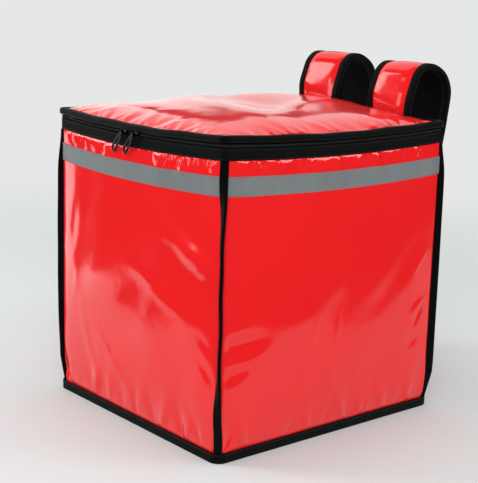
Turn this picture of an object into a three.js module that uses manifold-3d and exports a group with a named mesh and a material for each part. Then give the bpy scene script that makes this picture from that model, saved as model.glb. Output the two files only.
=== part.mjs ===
// A food delivery bag: a square insulated box bag of glossy red vinyl, worn on the back.
// Millimetres, +Z up, +X to the right, the front towards -Y. The origin is the middle of the
// underside of the base, on the floor.

import * as THREE from 'three';
import { mergeVertices } from 'three/addons/utils/BufferGeometryUtils.js';
import Module from 'manifold-3d';

const { Vector2, Vector3 } = THREE;

// Overall sizes
const bagWidth = 372;
const bagDepth = 396;
const bagHeight = 420; // floor to the top of the lid's binding, at the corners
const seamGap = 0.3; // the clearance between pieces that are sewn together

// Padded walls, base and lid
const wallThickness = 8;
const baseThickness = 8;
const lidThickness = 6.5;
const wallBulge = 6; // how far the middle of a wall stands out
const rimSag = 4.5; // how far the top edges hang down at the middle of a side
const lidRise = 19; // the lid's crown above its edge
const gatherDepth = 1.2; // the puckers that the lid's binding draws up

// Corners
const cornerSetback = 5.1; // how far a wall's face ends short of the corner line
const baseRound = 12; // the radius of the bottom corners
const cornerEase = 36; // the height in which the round bottom corner runs out
const lidRound = 8;

// Bindings
const cornerBindingWidth = 10.5;
const cornerBindingThickness = 4.6;
const baseBindingHeight = 13.5;
const baseBindingThickness = 3;
const baseBindingFold = 1.5; // the thickness of the lip under the walls
const lidBindingHeight = 9;
const lidBindingThickness = 4;
const lidBindingLip = 1.5;
const lidBindingLap = 5; // how far the lip reaches in over the lid

// Zip, from the lid down
const upperTapeThickness = 1.4;
const upperTapeWidth = 6;
const coilSize = 4.4;
const lowerTapeHeight = 15.5;
const tapeThickness = 1.5;
const wallBelowTape = 3; // how far the wall's top edge lies below the tape's

// Reflective strip
const stripHeight = 25;
const stripThickness = 0.5;
const stripDrop = 19.5; // from the zip tape down to the strip

// Zip sliders and pullers
const sliderSpacing = 26;
const sliderLength = 15;
const sliderHeight = 7;
const sliderThickness = 2.4;
const bridgeBar = 1.6;
const bridgeOpening = 4.6;
const bridgeRise = 2.9; // from the slider's face to the middle of the bar
const pullerLength = 38;
const pullerWidth = 9.5;
const pullerTopWidth = 6.8;
const pullerNeck = 3.2;
const pullerThickness = 1.4;
const pullerRail = 2;
const eyeBore = 2.9;
const eyeWall = 0.75;
const pullerLean = THREE.MathUtils.degToRad(45); // to the left of straight down, seen from the front
const pullerTilt = THREE.MathUtils.degToRad(4); // in towards the wall

// Shoulder straps
const strapSpacing = 152; // from the middle of one strap to the middle of the other
const strapWidth = 83.5;
const strapThickness = 8;
const strapBindingWidth = 10.5;
const strapBindingWall = 1;
const strapLiningThickness = 1;
const strapRise = { left: 80, right: 74 }; // the tops of the loops above the lid's edge
const strapReach = 93; // the back of the loop behind the back wall
const strapLean = 6; // how much further back a strap's right edge stands
const strapEndWidth = 50;
const strapEndHeight = 8;
const webbingWidth = 25;
const webbingThickness = 1.6;
const webbingHem = 26; // the length sewn flat to the back wall
const webbingLowest = 24; // above the floor
const adjusterWidth = 36;
const adjusterHeight = 24;
const adjusterThickness = 4;
const adjusterBar = 4;

// Steps of the meshes
const sideSteps = 12;
const lidSideSteps = 20;
const innerSteps = 4;
const roundSteps = 3;
const bindingSteps = 12;
const coilSides = 6;
const eyeSteps = 6;
const strapLoopSteps = 16; // over the first half of a strap's length
const strapDropSteps = 7; // over the rest
const webbingSteps = 7;

// Heights worked out from the lid down, at the corners
const halfWidth = bagWidth / 2;
const halfDepth = bagDepth / 2;
const lidEdgeTop = bagHeight - lidBindingLip - seamGap;
const lidUnderside = lidEdgeTop - lidThickness;
const lidBindingBottom = bagHeight - lidBindingHeight;
const upperTapeTop = lidUnderside - seamGap;
const coilTop = upperTapeTop - upperTapeThickness - seamGap;
const coilMiddle = coilTop - coilSize / 2;
const lowerTapeTop = coilTop - coilSize - seamGap;
const lowerTapeBottom = lowerTapeTop - lowerTapeHeight;
const wallTop = lowerTapeTop - wallBelowTape;
const wallBottom = baseBindingFold + seamGap;
const stripTop = lowerTapeBottom - stripDrop;
const stripBottom = stripTop - stripHeight;
const easeTop = baseBindingHeight + cornerEase;

// How far the lid's edge and the back strip stand out from the walls' faces
const tapeOut = seamGap + tapeThickness;
const lidOut = 1;
const backLidOut = tapeOut - lidBindingThickness - seamGap;

// The four sides, counter-clockwise from above. The back is stiffer and stays flat.
const sides = {
  front: { outward: new Vector3(0, -1, 0), along: new Vector3(1, 0, 0), face: halfDepth, half: halfWidth,
    bulge: 1, sag: 1 },
  right: { outward: new Vector3(1, 0, 0), along: new Vector3(0, 1, 0), face: halfWidth, half: halfDepth,
    bulge: 1, sag: 1 },
  back: { outward: new Vector3(0, 1, 0), along: new Vector3(-1, 0, 0), face: halfDepth, half: halfWidth,
    bulge: 0, sag: 0 },
  left: { outward: new Vector3(-1, 0, 0), along: new Vector3(0, -1, 0), face: halfWidth, half: halfDepth,
    bulge: 1, sag: 1 },
};
const sideNames = Object.keys(sides);

// How much of the bulge a wall has at shares of the height up to the reflective strip
const bulgeByHeight = [
  { up: 0, bulge: 0 },
  { up: 0.12, bulge: 0.3 },
  { up: 0.3, bulge: 0.7 },
  { up: 0.5, bulge: 0.9 },
  { up: 0.7, bulge: 1 },
  { up: 0.86, bulge: 1 },
  { up: 1, bulge: 1 },
];

// Broad dents in the walls. along and up place the middle, as shares of the wall's width and of the
// height up to the strip; length and width are shares of the width; turn is in degrees from level;
// depth is a share of the wall's thickness.
const wallDents = {
  front: [
    { along: 0.22, up: 0.22, length: 0.34, width: 0.11, turn: 48, depth: 0.26 },
    { along: 0.62, up: 0.5, length: 0.3, width: 0.12, turn: 35, depth: 0.2 },
    { along: 0.4, up: 0.78, length: 0.26, width: 0.1, turn: -30, depth: 0.16 },
  ],
  right: [
    { along: 0.3, up: 0.3, length: 0.36, width: 0.11, turn: 40, depth: 0.26 },
    { along: 0.78, up: 0.52, length: 0.3, width: 0.09, turn: 62, depth: 0.24 },
    { along: 0.55, up: 0.12, length: 0.22, width: 0.08, turn: 30, depth: 0.2 },
  ],
  back: [],
  left: [
    { along: 0.35, up: 0.4, length: 0.34, width: 0.12, turn: -40, depth: 0.2 },
    { along: 0.7, up: 0.6, length: 0.3, width: 0.1, turn: 50, depth: 0.2 },
  ],
};

// Broad waves of the lid. right and back place the middle, as shares of the half width and half
// depth; length and width are shares of the half width; turn is in degrees from the front edge;
// height is a share of the lid's crown.
const lidWaves = [
  { right: -0.35, back: 0.74, length: 0.75, width: 0.36, turn: -6, height: 0.3 },
  { right: -0.8, back: 0.42, length: 0.3, width: 0.24, turn: 0, height: 0.34 },
  { right: -0.85, back: -0.36, length: 0.42, width: 0.36, turn: 90, height: -0.9 },
  { right: -0.1, back: 0.12, length: 0.8, width: 0.17, turn: -14, height: -0.25 },
  { right: 0.1, back: -0.35, length: 0.7, width: 0.16, turn: -10, height: 0.2 },
  { right: 0.7, back: 0.72, length: 0.36, width: 0.3, turn: -40, height: -0.35 },
  { right: 0.62, back: 0.1, length: 0.4, width: 0.16, turn: 62, height: 0.18 },
];

// How square the lid's crown is: the higher, the nearer to its edge it rises
const lidCornerPower = 6;

// Rings of the lid's face, as shares of the way from its middle to its edge
const lidFaceRings = [0.2, 0.42, 0.62, 0.78, 0.9];
const lidUnderRings = [0.25, 0.62];
const gathers = { start: 0.7, full: 0.95 }; // where the puckers begin and are full, on that way

// How each corner binding stands at shares of its height: turned 0 degrees it lies flat across the
// corner, and turned 90 it stands off edge on; size is a share of its full width.
const bindingTurns = {
  front_right: [
    { up: 0, turn: 0, size: 1 },
    { up: 0.14, turn: 25, size: 1 },
    { up: 0.26, turn: 80, size: 0.9 },
    { up: 0.6, turn: 90, size: 0.9 },
    { up: 0.82, turn: 70, size: 0.95 },
    { up: 0.93, turn: 15, size: 1 },
    { up: 1, turn: 5, size: 1 },
  ],
  back_right: [
    { up: 0, turn: 60, size: 0.6 },
    { up: 0.1, turn: 85, size: 1 },
    { up: 0.5, turn: 90, size: 1 },
    { up: 0.9, turn: 85, size: 1 },
    { up: 1, turn: 75, size: 0.9 },
  ],
  back_left: [
    { up: 0, turn: 60, size: 0.6 },
    { up: 0.1, turn: 85, size: 1 },
    { up: 0.5, turn: 90, size: 1 },
    { up: 0.9, turn: 85, size: 1 },
    { up: 1, turn: 75, size: 0.9 },
  ],
  front_left: [
    { up: 0, turn: 0, size: 0.5 },
    { up: 0.12, turn: 35, size: 0.6 },
    { up: 0.36, turn: 80, size: 0.9 },
    { up: 0.6, turn: 90, size: 0.95 },
    { up: 0.88, turn: 85, size: 0.95 },
    { up: 1, turn: 30, size: 0.6 },
  ],
};

// A folded band's section with its edges eased, as shares of its half width and half thickness
const foldFlat = 0.6;
const foldEase = 0.5;
const foldOutline = [
  [1, -foldEase], [1, foldEase], [foldFlat, 1], [-foldFlat, 1],
  [-1, foldEase], [-1, -foldEase], [-foldFlat, -1], [foldFlat, -1],
];

const corners = {
  front_right: new Vector2(1, -1),
  back_right: new Vector2(1, 1),
  back_left: new Vector2(-1, 1),
  front_left: new Vector2(-1, -1),
};

// The outer face of a strap's loop: back is a share of its reach behind the back wall, up a share
// of its rise above the lid's edge.
const strapRoute = [
  { back: 0.035, up: 0.35 },
  { back: 0.11, up: 0.62 },
  { back: 0.19, up: 0.83 },
  { back: 0.34, up: 0.975 },
  { back: 0.5, up: 1 },
  { back: 0.68, up: 0.93 },
  { back: 0.86, up: 0.77 },
  { back: 0.975, up: 0.5 },
  { back: 0.995, up: 0.2 },
  { back: 0.97, up: -0.1 },
  { back: 0.88, up: -0.7 },
  { back: 0.72, up: -1.4 },
  { back: 0.53, up: -2.1 },
  { back: 0.4, up: -2.55 },
];
const strapAnchorDrop = 0.85; // how far down the back wall a strap starts, as a share of its rise
const strapTaperStart = 0.72; // where along its length a strap starts to narrow

// Where the webbing bends in to the wall, as shares of the way from its hem back to the adjuster
const webbingBend = { back: 0.12, up: 0.16 };

function material(color, roughness, metalness = 0) {
  return new THREE.MeshStandardMaterial({ color, roughness, metalness });
}

const redVinyl = material('#e11f24', 0.18);
const blackBinding = material('#15171a', 0.7);
const zipTape = material('#101214', 0.8);
const zipCoil = material('#3c4043', 0.45);
const reflectiveTape = material('#84898c', 0.5, 0.1);
const sliderMetal = material('#3b3d40', 0.35, 0.85);
const blackMesh = material('#0e0e10', 0.9);
const blackWebbing = material('#141518', 0.75);
const blackPlastic = material('#1a1b1e', 0.5);

// Small helpers
const mix = THREE.MathUtils.lerp;
const hump = (share) => 4 * share * (1 - share);
const spread = (steps, place) => Array.from({ length: steps + 1 }, (_, step) => place(step / steps));

// The value of a table's column at a place along its first column
function fromTable(rows, place, key, column) {
  const after = rows.findIndex((row) => row[key] >= place);
  if (after <= 0) return rows[after < 0 ? rows.length - 1 : 0][column];
  const [low, high] = [rows[after - 1], rows[after]];
  return mix(low[column], high[column], (place - low[key]) / (high[key] - low[key]));
}

// A soft long mound: 1 in the middle, fading along its length and width
function mound(x, y, turn, length, width) {
  const angle = THREE.MathUtils.degToRad(turn);
  const lengthwise = (x * Math.cos(angle) + y * Math.sin(angle)) / length;
  const across = (y * Math.cos(angle) - x * Math.sin(angle)) / width;
  return Math.exp(-(lengthwise ** 2) - across ** 2);
}

// The triangles that fill a flat ring, as numbers of its points
function fillRing(ring) {
  const normal = new Vector3();
  ring.forEach((point, index) => normal.add(point.clone().cross(ring[(index + 1) % ring.length])));
  normal.normalize();
  const first = ring[1].clone().sub(ring[0]).projectOnPlane(normal).normalize();
  const second = normal.clone().cross(first);
  const flat = ring.map((point) => new Vector2(point.dot(first), point.dot(second)));
  return THREE.ShapeUtils.triangulateShape(flat, []);
}

function signedVolume(points, faces) {
  return faces.reduce((sum, [a, b, c]) => sum + points[a].dot(points[b].clone().cross(points[c])), 0);
}

// A closed body through rings of points. Its side runs from ring to ring, and its ends are filled,
// or meet where the rings come round again.
function skin(rings, comesRound = false) {
  const count = rings[0].length;
  const points = rings.flat();
  let faces = [];
  const spans = comesRound ? rings.length : rings.length - 1;
  for (let span = 0; span < spans; span += 1) {
    const here = span * count;
    const next = ((span + 1) % rings.length) * count;
    for (let index = 0; index < count; index += 1) {
      const after = (index + 1) % count;
      faces.push([here + index, here + after, next + after], [here + index, next + after, next + index]);
    }
  }
  if (!comesRound) {
    const last = (rings.length - 1) * count;
    fillRing(rings[0]).forEach(([a, b, c]) => faces.push([c, b, a]));
    fillRing(rings.at(-1)).forEach(([a, b, c]) => faces.push([last + a, last + b, last + c]));
  }
  if (signedVolume(points, faces) < 0) faces = faces.map(([a, b, c]) => [c, b, a]);
  const geometry = new THREE.BufferGeometry();
  geometry.setAttribute('position', new THREE.BufferAttribute(
    Float32Array.from(points.flatMap((point) => point.toArray())), 3));
  geometry.setIndex(faces.flat());
  return geometry;
}

// Joining of solids
const wasm = await Module();
wasm.setup();
const weldDistance = 1e-4;

function asSolid(geometry) {
  const bare = geometry.clone();
  bare.deleteAttribute('normal');
  bare.deleteAttribute('uv');
  const merged = mergeVertices(bare, weldDistance);
  return new wasm.Manifold(new wasm.Mesh({
    numProp: 3,
    vertProperties: Float32Array.from(merged.attributes.position.array),
    triVerts: Uint32Array.from(merged.index.array),
  }));
}

function joined(...geometries) {
  const [first, ...rest] = geometries.map(asSolid);
  const mesh = rest.reduce((whole, piece) => whole.add(piece), first).getMesh();
  const geometry = new THREE.BufferGeometry();
  geometry.setAttribute('position', new THREE.BufferAttribute(mesh.vertProperties, 3));
  geometry.setIndex(new THREE.BufferAttribute(mesh.triVerts, 1));
  return geometry;
}

// The walls' shape
function setbackAt(height) {
  const share = THREE.MathUtils.clamp((height - baseBindingHeight) / cornerEase, 0, 1);
  return mix(baseRound, cornerSetback, share);
}

const shareToStrip = (height) => (height - wallBottom) / (stripBottom - wallBottom);

function dentAt(name, along, height) {
  const up = shareToStrip(height);
  if (up <= 0 || up >= 1) return 0;
  const tall = (stripBottom - wallBottom) / (2 * sides[name].half);
  const depth = wallDents[name].reduce((sum, dent) => sum + dent.depth
    * mound(along - dent.along, (up - dent.up) * tall, dent.turn, dent.length, dent.width), 0);
  const fade = Math.min(1, 2 * hump(along)) * Math.min(1, 2 * hump(up));
  return depth * fade * wallThickness;
}

// How far a wall's face stands out at a share along it and a height, without its dents
function bulgeAt(name, along, height) {
  const share = fromTable(bulgeByHeight, shareToStrip(height), 'up', 'bulge');
  return sides[name].bulge * wallBulge * hump(along) * share;
}

// How far a level line of a wall hangs down at a share along it
function sagAt(name, along, height) {
  const share = THREE.MathUtils.clamp(shareToStrip(height), 0, 1);
  return sides[name].sag * rimSag * hump(along) * share;
}

// A point of a side, from distances along it, out from the middle of the bag and up
function onSide(name, along, out, up) {
  const side = sides[name];
  const point = side.along.clone().multiplyScalar(along).addScaledVector(side.outward, out);
  return point.setZ(up);
}

// One level section of a wall: its face, the mitres at both corners and its plain inner side
function wallSection(name, height) {
  const { half, face } = sides[name];
  const setback = setbackAt(height);
  const reach = half - setback;
  const mitreGap = seamGap * Math.SQRT1_2;
  const outer = spread(sideSteps, (share) => onSide(name, mix(-reach, reach, share),
    face + bulgeAt(name, share, height) - dentAt(name, share, height),
    height - sagAt(name, share, height)));
  const inner = spread(innerSteps, (share) => onSide(name,
    mix(-1, 1, share) * (half - wallThickness - mitreGap),
    face - wallThickness + bulgeAt(name, share, height), height - sagAt(name, share, height)));
  const mitre = (end) => onSide(name, end * (half - setback / 2 - mitreGap), face - setback / 2, height);
  return [...outer, mitre(1), ...inner.reverse(), mitre(-1)];
}

function wallPanel(name) {
  const rows = bulgeByHeight.map((row) => mix(wallBottom, stripBottom, row.up));
  const heights = [...rows, baseBindingHeight, easeTop, stripTop, lowerTapeBottom, wallTop];
  return skin(heights.sort((a, b) => a - b).map((height) => wallSection(name, height)));
}

// Stations along one side for a band that runs outside the walls, from one corner round to the next
function sideStations(name, steps, round, out) {
  const { half, outward } = sides[name];
  return spread(steps, (share) => ({
    name, share, outward, middle: onSide(name, mix(-1, 1, share) * (half - round), out, 0),
  }));
}

const nextSide = (name) => sideNames[(sideNames.indexOf(name) + 1) % sideNames.length];
const lastSide = (name) => sideNames.at(sideNames.indexOf(name) - 1);

// Stations round the corner after a side, between its end and the next side's start
function cornerStations(name, round, out) {
  const next = nextSide(name);
  const [here, there] = [sides[name].outward, sides[next].outward];
  const heart = here.clone().multiplyScalar(sides[name].face + out[name] - round)
    .addScaledVector(there, sides[next].face + out[next] - round);
  return spread(roundSteps, (share) => share).slice(1, -1).map((share) => {
    const angle = share * Math.PI / 2;
    const outward = here.clone().multiplyScalar(Math.cos(angle)).addScaledVector(there, Math.sin(angle));
    return { name, share: 1, outward, middle: heart.clone().addScaledVector(outward, round) };
  });
}

// The stations of a band round some or all of the sides. out is each side's distance from the
// walls' faces, and round is the corners' radius there.
function bandStations(names, { round, out, steps = sideSteps }) {
  const stations = [];
  names.forEach((name, index) => {
    const { face, half, outward } = sides[name];
    const [low, high] = [round - half - out[lastSide(name)], half + out[nextSide(name)] - round];
    stations.push(...spread(steps, (share) => ({
      name, share, outward, middle: onSide(name, mix(low, high, share), face + out[name], 0),
    })));
    if (index < names.length - 1 || names.length === sideNames.length) {
      stations.push(...cornerStations(name, round, out));
    }
  });
  return stations;
}

// A ring of the section at a station: pairs of distances out and up
function bandSection(station, section, level) {
  const { name, share, outward, middle } = station;
  const bulge = bulgeAt(name, share, level);
  const sag = sagAt(name, share, level);
  return section.map(([out, up]) => middle.clone().addScaledVector(outward, bulge + out).setZ(up - sag));
}

const evenly = (out) => ({ front: out, right: out, back: out, left: out });
const zipSides = ['left', 'front', 'right'];

function band(names, plan, section, level) {
  const rings = bandStations(names, plan).map((station) => bandSection(station, section, level));
  return skin(rings, names.length === sideNames.length);
}

function basePanel() {
  const round = baseRound - wallThickness - seamGap;
  const x = halfWidth - wallThickness - seamGap;
  const y = halfDepth - wallThickness - seamGap;
  const outline = new THREE.Shape();
  outline.absarc(x - round, y - round, round, 0, Math.PI / 2);
  outline.absarc(round - x, y - round, round, Math.PI / 2, Math.PI);
  outline.absarc(round - x, round - y, round, Math.PI, 1.5 * Math.PI);
  outline.absarc(x - round, round - y, round, 1.5 * Math.PI, 2 * Math.PI);
  outline.closePath();
  return new THREE.ExtrudeGeometry(outline, { depth: baseThickness, bevelEnabled: false,
    curveSegments: roundSteps });
}

// A band folded round the bottom edge: a lip under the walls and a low upstand outside them
function baseBinding() {
  const low = -wallThickness;
  const outer = seamGap + baseBindingThickness;
  const chamfer = baseBindingThickness / 3;
  const section = [
    [low, 0], [outer - chamfer, 0], [outer, chamfer], [outer, baseBindingHeight - chamfer],
    [seamGap + chamfer, baseBindingHeight], [seamGap, baseBindingFold], [low, baseBindingFold],
  ];
  return band(sideNames, { round: baseRound, out: evenly(0) }, section, 0);
}

function lowerTape() {
  const section = [
    [seamGap, lowerTapeBottom], [tapeOut, lowerTapeBottom], [tapeOut, lowerTapeTop], [seamGap, lowerTapeTop],
  ];
  return band(zipSides, { round: cornerSetback, out: evenly(0) }, section, wallTop);
}

function coil() {
  const radius = coilSize / 2;
  const section = spread(coilSides, (share) => [radius * Math.cos(share * 2 * Math.PI),
    coilMiddle + radius * Math.sin(share * 2 * Math.PI)]).slice(1);
  return band(zipSides, { round: cornerSetback, out: evenly(0) }, section, wallTop);
}

function upperTape() {
  const [low, high] = [upperTapeTop - upperTapeThickness, upperTapeTop];
  const [inner, outer] = [lidOut - upperTapeWidth, lidOut];
  const section = [[inner, low], [outer, low], [outer, high], [inner, high]];
  return band(zipSides, { round: lidRound, out: { ...evenly(0), back: backLidOut } }, section, wallTop);
}

const lidPlan = { round: lidRound, out: { ...evenly(lidOut), back: backLidOut } };

// A band round the lid's edge, with a lip over its face
function lidBinding() {
  const outer = seamGap + lidBindingThickness;
  const chamfer = lidBindingThickness / 3;
  const section = [
    [seamGap, lidBindingBottom], [outer - chamfer, lidBindingBottom], [outer, lidBindingBottom + chamfer],
    [outer, bagHeight - chamfer], [outer - chamfer, bagHeight], [-lidBindingLap, bagHeight],
    [-lidBindingLap, bagHeight - lidBindingLip], [seamGap, bagHeight - lidBindingLip],
  ];
  return band(sideNames, lidPlan, section, wallTop);
}

// The cloth strip that joins the lid to the back wall
function lidHinge() {
  const section = [
    [seamGap, lowerTapeBottom], [tapeOut, lowerTapeBottom], [tapeOut, lidBindingBottom - seamGap],
    [seamGap, lidBindingBottom - seamGap],
  ];
  return band(['back'], { round: cornerSetback + tapeOut, out: evenly(0) }, section, wallTop);
}

// The height of the lid's face above its edge, at shares of its half width and half depth
function lidCrown(right, back) {
  const waves = lidWaves.reduce((sum, wave) => sum + wave.height
    * mound(right - wave.right, back - wave.back, wave.turn, wave.length, wave.width), 0);
  const pillow = (1 - right ** lidCornerPower) * (1 - back ** lidCornerPower);
  return lidRise * pillow * (1 + waves);
}

function lidPanel() {
  const stations = bandStations(sideNames, { ...lidPlan, steps: lidSideSteps });
  const flatEdge = (up) => stations.map((station) => bandSection(station, [[0, up]], wallTop)[0]);
  const ringAt = (ringShare, drop) => stations.map((station, index) => {
    const [edge] = bandSection(station, [[0, 0]], wallTop);
    const right = station.middle.x / (halfWidth + lidOut) * ringShare;
    const back = station.middle.y / (halfDepth + lidOut) * ringShare;
    const drawn = THREE.MathUtils.smoothstep(ringShare, gathers.start, gathers.full);
    const gather = (index % 2 ? 1 : -1) * gatherDepth * drawn;
    const height = lidEdgeTop + edge.z * ringShare + lidCrown(right, back) + (drop ? -drop : gather);
    return edge.setZ(0).multiplyScalar(ringShare).setZ(height);
  });
  const lap = lidBindingLap + seamGap;
  const underLip = stations.map((station) => bandSection(station, [[-lap, lidEdgeTop]], wallTop)[0]);
  return skin([
    ...lidUnderRings.map((share) => ringAt(share, lidThickness)),
    flatEdge(lidUnderside), flatEdge(lidEdgeTop), underLip,
    ...lidFaceRings.slice().reverse().map((share) => ringAt(share, 0)),
  ]);
}

// A strip sewn to a wall's face, its ends cut along the corner's slant
function reflectiveStrip(name) {
  const { half, face } = sides[name];
  const rings = spread(sideSteps, (share) => {
    const place = (out, height) => onSide(name,
      mix(-1, 1, share) * (half - cornerSetback - out),
      face + bulgeAt(name, share, height) + out, height - sagAt(name, share, height));
    const [low, high] = [seamGap, seamGap + stripThickness];
    return [place(low, stripBottom), place(high, stripBottom), place(high, stripTop), place(low, stripTop)];
  });
  return skin(rings);
}

// A folded band down a corner: its section rests on the corner's slant however it is turned
function cornerBinding(name) {
  const sign = corners[name];
  const out = new Vector3(sign.x, sign.y, 0).normalize();
  const across = new Vector3(-sign.y, sign.x, 0).normalize();
  const bottom = baseBindingHeight + seamGap;
  const top = lowerTapeBottom - seamGap;
  const easeShare = (easeTop - bottom) / (top - bottom);
  const shares = [...spread(bindingSteps, (share) => share), easeShare].sort((a, b) => a - b);
  const rings = shares.map((share) => {
    const height = mix(bottom, top, share);
    const turn = THREE.MathUtils.degToRad(fromTable(bindingTurns[name], share, 'up', 'turn'));
    const long = cornerBindingWidth / 2 * fromTable(bindingTurns[name], share, 'up', 'size');
    const short = cornerBindingThickness / 2;
    const seat = -setbackAt(height) * Math.SQRT1_2 + seamGap;
    const middle = seat + long * Math.sin(turn) + short * Math.cos(turn);
    return foldOutline.map(([wide, thick]) => {
      const [u, v] = [wide * long, thick * short];
      return new Vector3(sign.x * halfWidth, sign.y * halfDepth, height)
        .addScaledVector(out, middle + u * Math.sin(turn) + v * Math.cos(turn))
        .addScaledVector(across, u * Math.cos(turn) - v * Math.sin(turn));
    });
  });
  return skin(rings);
}

// Sliders and pullers. Both are made about the middle of the bridge's bar: x across the puller,
// y out from the bag and z up along it.
const coilOut = coilSize / 2;
const barOut = coilOut + seamGap + sliderThickness + bridgeRise;

function alongBar(outline, width) {
  const shape = { depth: width, bevelEnabled: false, curveSegments: eyeSteps };
  return new THREE.ExtrudeGeometry(outline, shape).translate(0, 0, -width / 2).rotateY(Math.PI / 2);
}

function sliderBody() {
  const nose = sliderHeight / 4;
  const plate = new THREE.Shape([
    new Vector2(-sliderLength / 2, -nose), new Vector2(-sliderLength / 2 + nose, -sliderHeight / 2),
    new Vector2(sliderLength / 2 - nose, -sliderHeight / 2), new Vector2(sliderLength / 2, -nose),
    new Vector2(sliderLength / 2, nose), new Vector2(sliderLength / 2 - nose, sliderHeight / 2),
    new Vector2(-sliderLength / 2 + nose, sliderHeight / 2), new Vector2(-sliderLength / 2, nose),
  ]);
  const body = new THREE.ExtrudeGeometry(plate, { depth: sliderThickness, bevelEnabled: false })
    .rotateX(Math.PI / 2).translate(0, -bridgeRise, 0);
  const [inner, outer] = [bridgeOpening / 2, bridgeOpening / 2 + bridgeBar];
  const half = bridgeBar / 2;
  const sunk = bridgeRise + sliderThickness / 2;
  const arch = new THREE.Shape([
    new Vector2(-outer, -sunk), new Vector2(-inner, -sunk), new Vector2(-inner, -half),
    new Vector2(inner, -half), new Vector2(inner, -sunk), new Vector2(outer, -sunk),
    new Vector2(outer, 0), new Vector2(outer - half, half), new Vector2(half - outer, half),
    new Vector2(-outer, 0),
  ]);
  const bridge = new THREE.ExtrudeGeometry(arch, { depth: bridgeBar, bevelEnabled: false })
    .translate(0, 0, -half).rotateY(-pullerLean);
  return joined(body, bridge);
}

function puller() {
  const eyeRadius = eyeBore / 2 + eyeWall;
  const ring = new THREE.Shape().absarc(0, 0, eyeRadius, 0, 2 * Math.PI);
  ring.holes.push(new THREE.Path().absarc(0, 0, eyeBore / 2, 0, 2 * Math.PI, true));
  const eye = alongBar(ring, pullerNeck);
  const shoulder = 3 * eyeRadius;
  const [neckHalf, topHalf, endHalf] = [pullerNeck / 2, pullerTopWidth / 2, pullerWidth / 2];
  const neckTop = eyeBore / 2 + eyeWall / 3;
  const frame = new THREE.Shape();
  frame.moveTo(neckHalf, -neckTop);
  frame.lineTo(topHalf, -shoulder);
  frame.lineTo(endHalf, endHalf - pullerLength);
  frame.absarc(0, endHalf - pullerLength, endHalf, 0, -Math.PI, true);
  frame.lineTo(-topHalf, -shoulder);
  frame.lineTo(-neckHalf, -neckTop);
  frame.closePath();
  const slotEnd = endHalf - pullerRail;
  const slotTop = topHalf - pullerRail;
  const slot = new THREE.Path();
  slot.moveTo(slotTop, -shoulder - pullerRail);
  slot.lineTo(-slotTop, -shoulder - pullerRail);
  slot.absarc(0, endHalf - pullerLength, slotEnd, Math.PI, 2 * Math.PI);
  slot.closePath();
  frame.holes.push(slot);
  const shape = { depth: pullerThickness, bevelEnabled: false, curveSegments: eyeSteps };
  const plate = new THREE.ExtrudeGeometry(frame, shape)
    .translate(0, 0, -pullerThickness / 2).rotateX(Math.PI / 2);
  return joined(eye, plate);
}

// Straps. The route is that of the outer face, in a plane square to the back wall.
function smoothRoute(points) {
  const places = points.map(([back, up]) => new Vector3(0, back, up));
  return new THREE.CatmullRomCurve3(places, false, 'centripetal');
}

const strapFoot = halfDepth + tapeOut + seamGap;

function makeStrap(rise, side) {
  const curve = smoothRoute([
    [strapFoot, bagHeight - strapAnchorDrop * rise],
    [strapFoot, bagHeight],
    ...strapRoute.map(({ back, up }) => [Math.max(strapFoot, halfDepth + back * strapReach),
      bagHeight + up * rise]),
  ]);
  return { curve, rise, side };
}

const straps = {
  left: makeStrap(strapRise.left, -strapSpacing / 2),
  right: makeStrap(strapRise.right, strapSpacing / 2),
};

// A station along a strap: its place, the direction into the loop and the half width there
function strapStation(strap, share) {
  const middle = strap.curve.getPointAt(share).setX(strap.side);
  const tangent = strap.curve.getTangentAt(share);
  const inward = new Vector3(0, tangent.z, -tangent.y);
  const narrowing = THREE.MathUtils.smoothstep(share, strapTaperStart, 1);
  const half = mix(strapWidth, strapEndWidth, narrowing) / 2;
  const lean = THREE.MathUtils.smoothstep(middle.z, bagHeight, bagHeight + strap.rise / 2) * strapLean;
  return { middle, tangent, inward, half, lean };
}

function onStrap(station, across, depth) {
  const { middle, inward, lean } = station;
  const point = middle.clone().addScaledVector(inward, depth);
  return point.add(new Vector3(across, lean * across / strapWidth, 0));
}

const strapShares = [
  ...spread(strapLoopSteps, (share) => share / 2),
  ...spread(strapDropSteps, (share) => (1 + share) / 2).slice(1),
];

function strapLayer(strap, section) {
  const rings = strapShares.map((share) => {
    const station = strapStation(strap, share);
    return section(station.half).map(([across, depth]) => onStrap(station, across, depth));
  });
  return skin(rings);
}

const padInset = strapBindingWall;
const padFaceDepth = strapBindingWall + seamGap;
const liningDepth = strapThickness - strapBindingWall - seamGap - strapLiningThickness;
const padBackDepth = liningDepth - seamGap;

// The pad: a crowned red face between the bindings, over foam
function strapPad(strap) {
  return strapLayer(strap, (half) => {
    const edge = half - padInset;
    const lip = half - strapBindingWidth - seamGap;
    const crown = lip - strapBindingWidth / 2;
    return [
      [-edge, padFaceDepth], [-lip, padFaceDepth], [-crown, 0], [crown, 0], [lip, padFaceDepth],
      [edge, padFaceDepth], [edge, padBackDepth], [-edge, padBackDepth],
    ];
  });
}

function strapLining(strap) {
  return strapLayer(strap, (half) => {
    const edge = half - padInset;
    const back = liningDepth + strapLiningThickness;
    return [[-edge, liningDepth], [edge, liningDepth], [edge, back], [-edge, back]];
  });
}

// A channel folded over one edge of the pad; hand is 1 for the right edge and -1 for the left
function strapEdge(strap, hand) {
  return strapLayer(strap, (half) => {
    const inner = half - strapBindingWidth;
    const web = half - strapBindingWall + seamGap;
    const back = strapThickness - strapBindingWall;
    return [
      [inner, 0], [half, 0], [half, strapThickness], [inner, strapThickness], [inner, back],
      [web, back], [web, strapBindingWall], [inner, strapBindingWall],
    ].map(([across, depth]) => [hand * across, depth]);
  });
}

// Places below the pad, measured on along the strap's last direction
function belowPad(strap, distance, across, depth) {
  const station = strapStation(strap, 1);
  return onStrap(station, across, depth).addScaledVector(station.tangent, distance);
}

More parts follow.
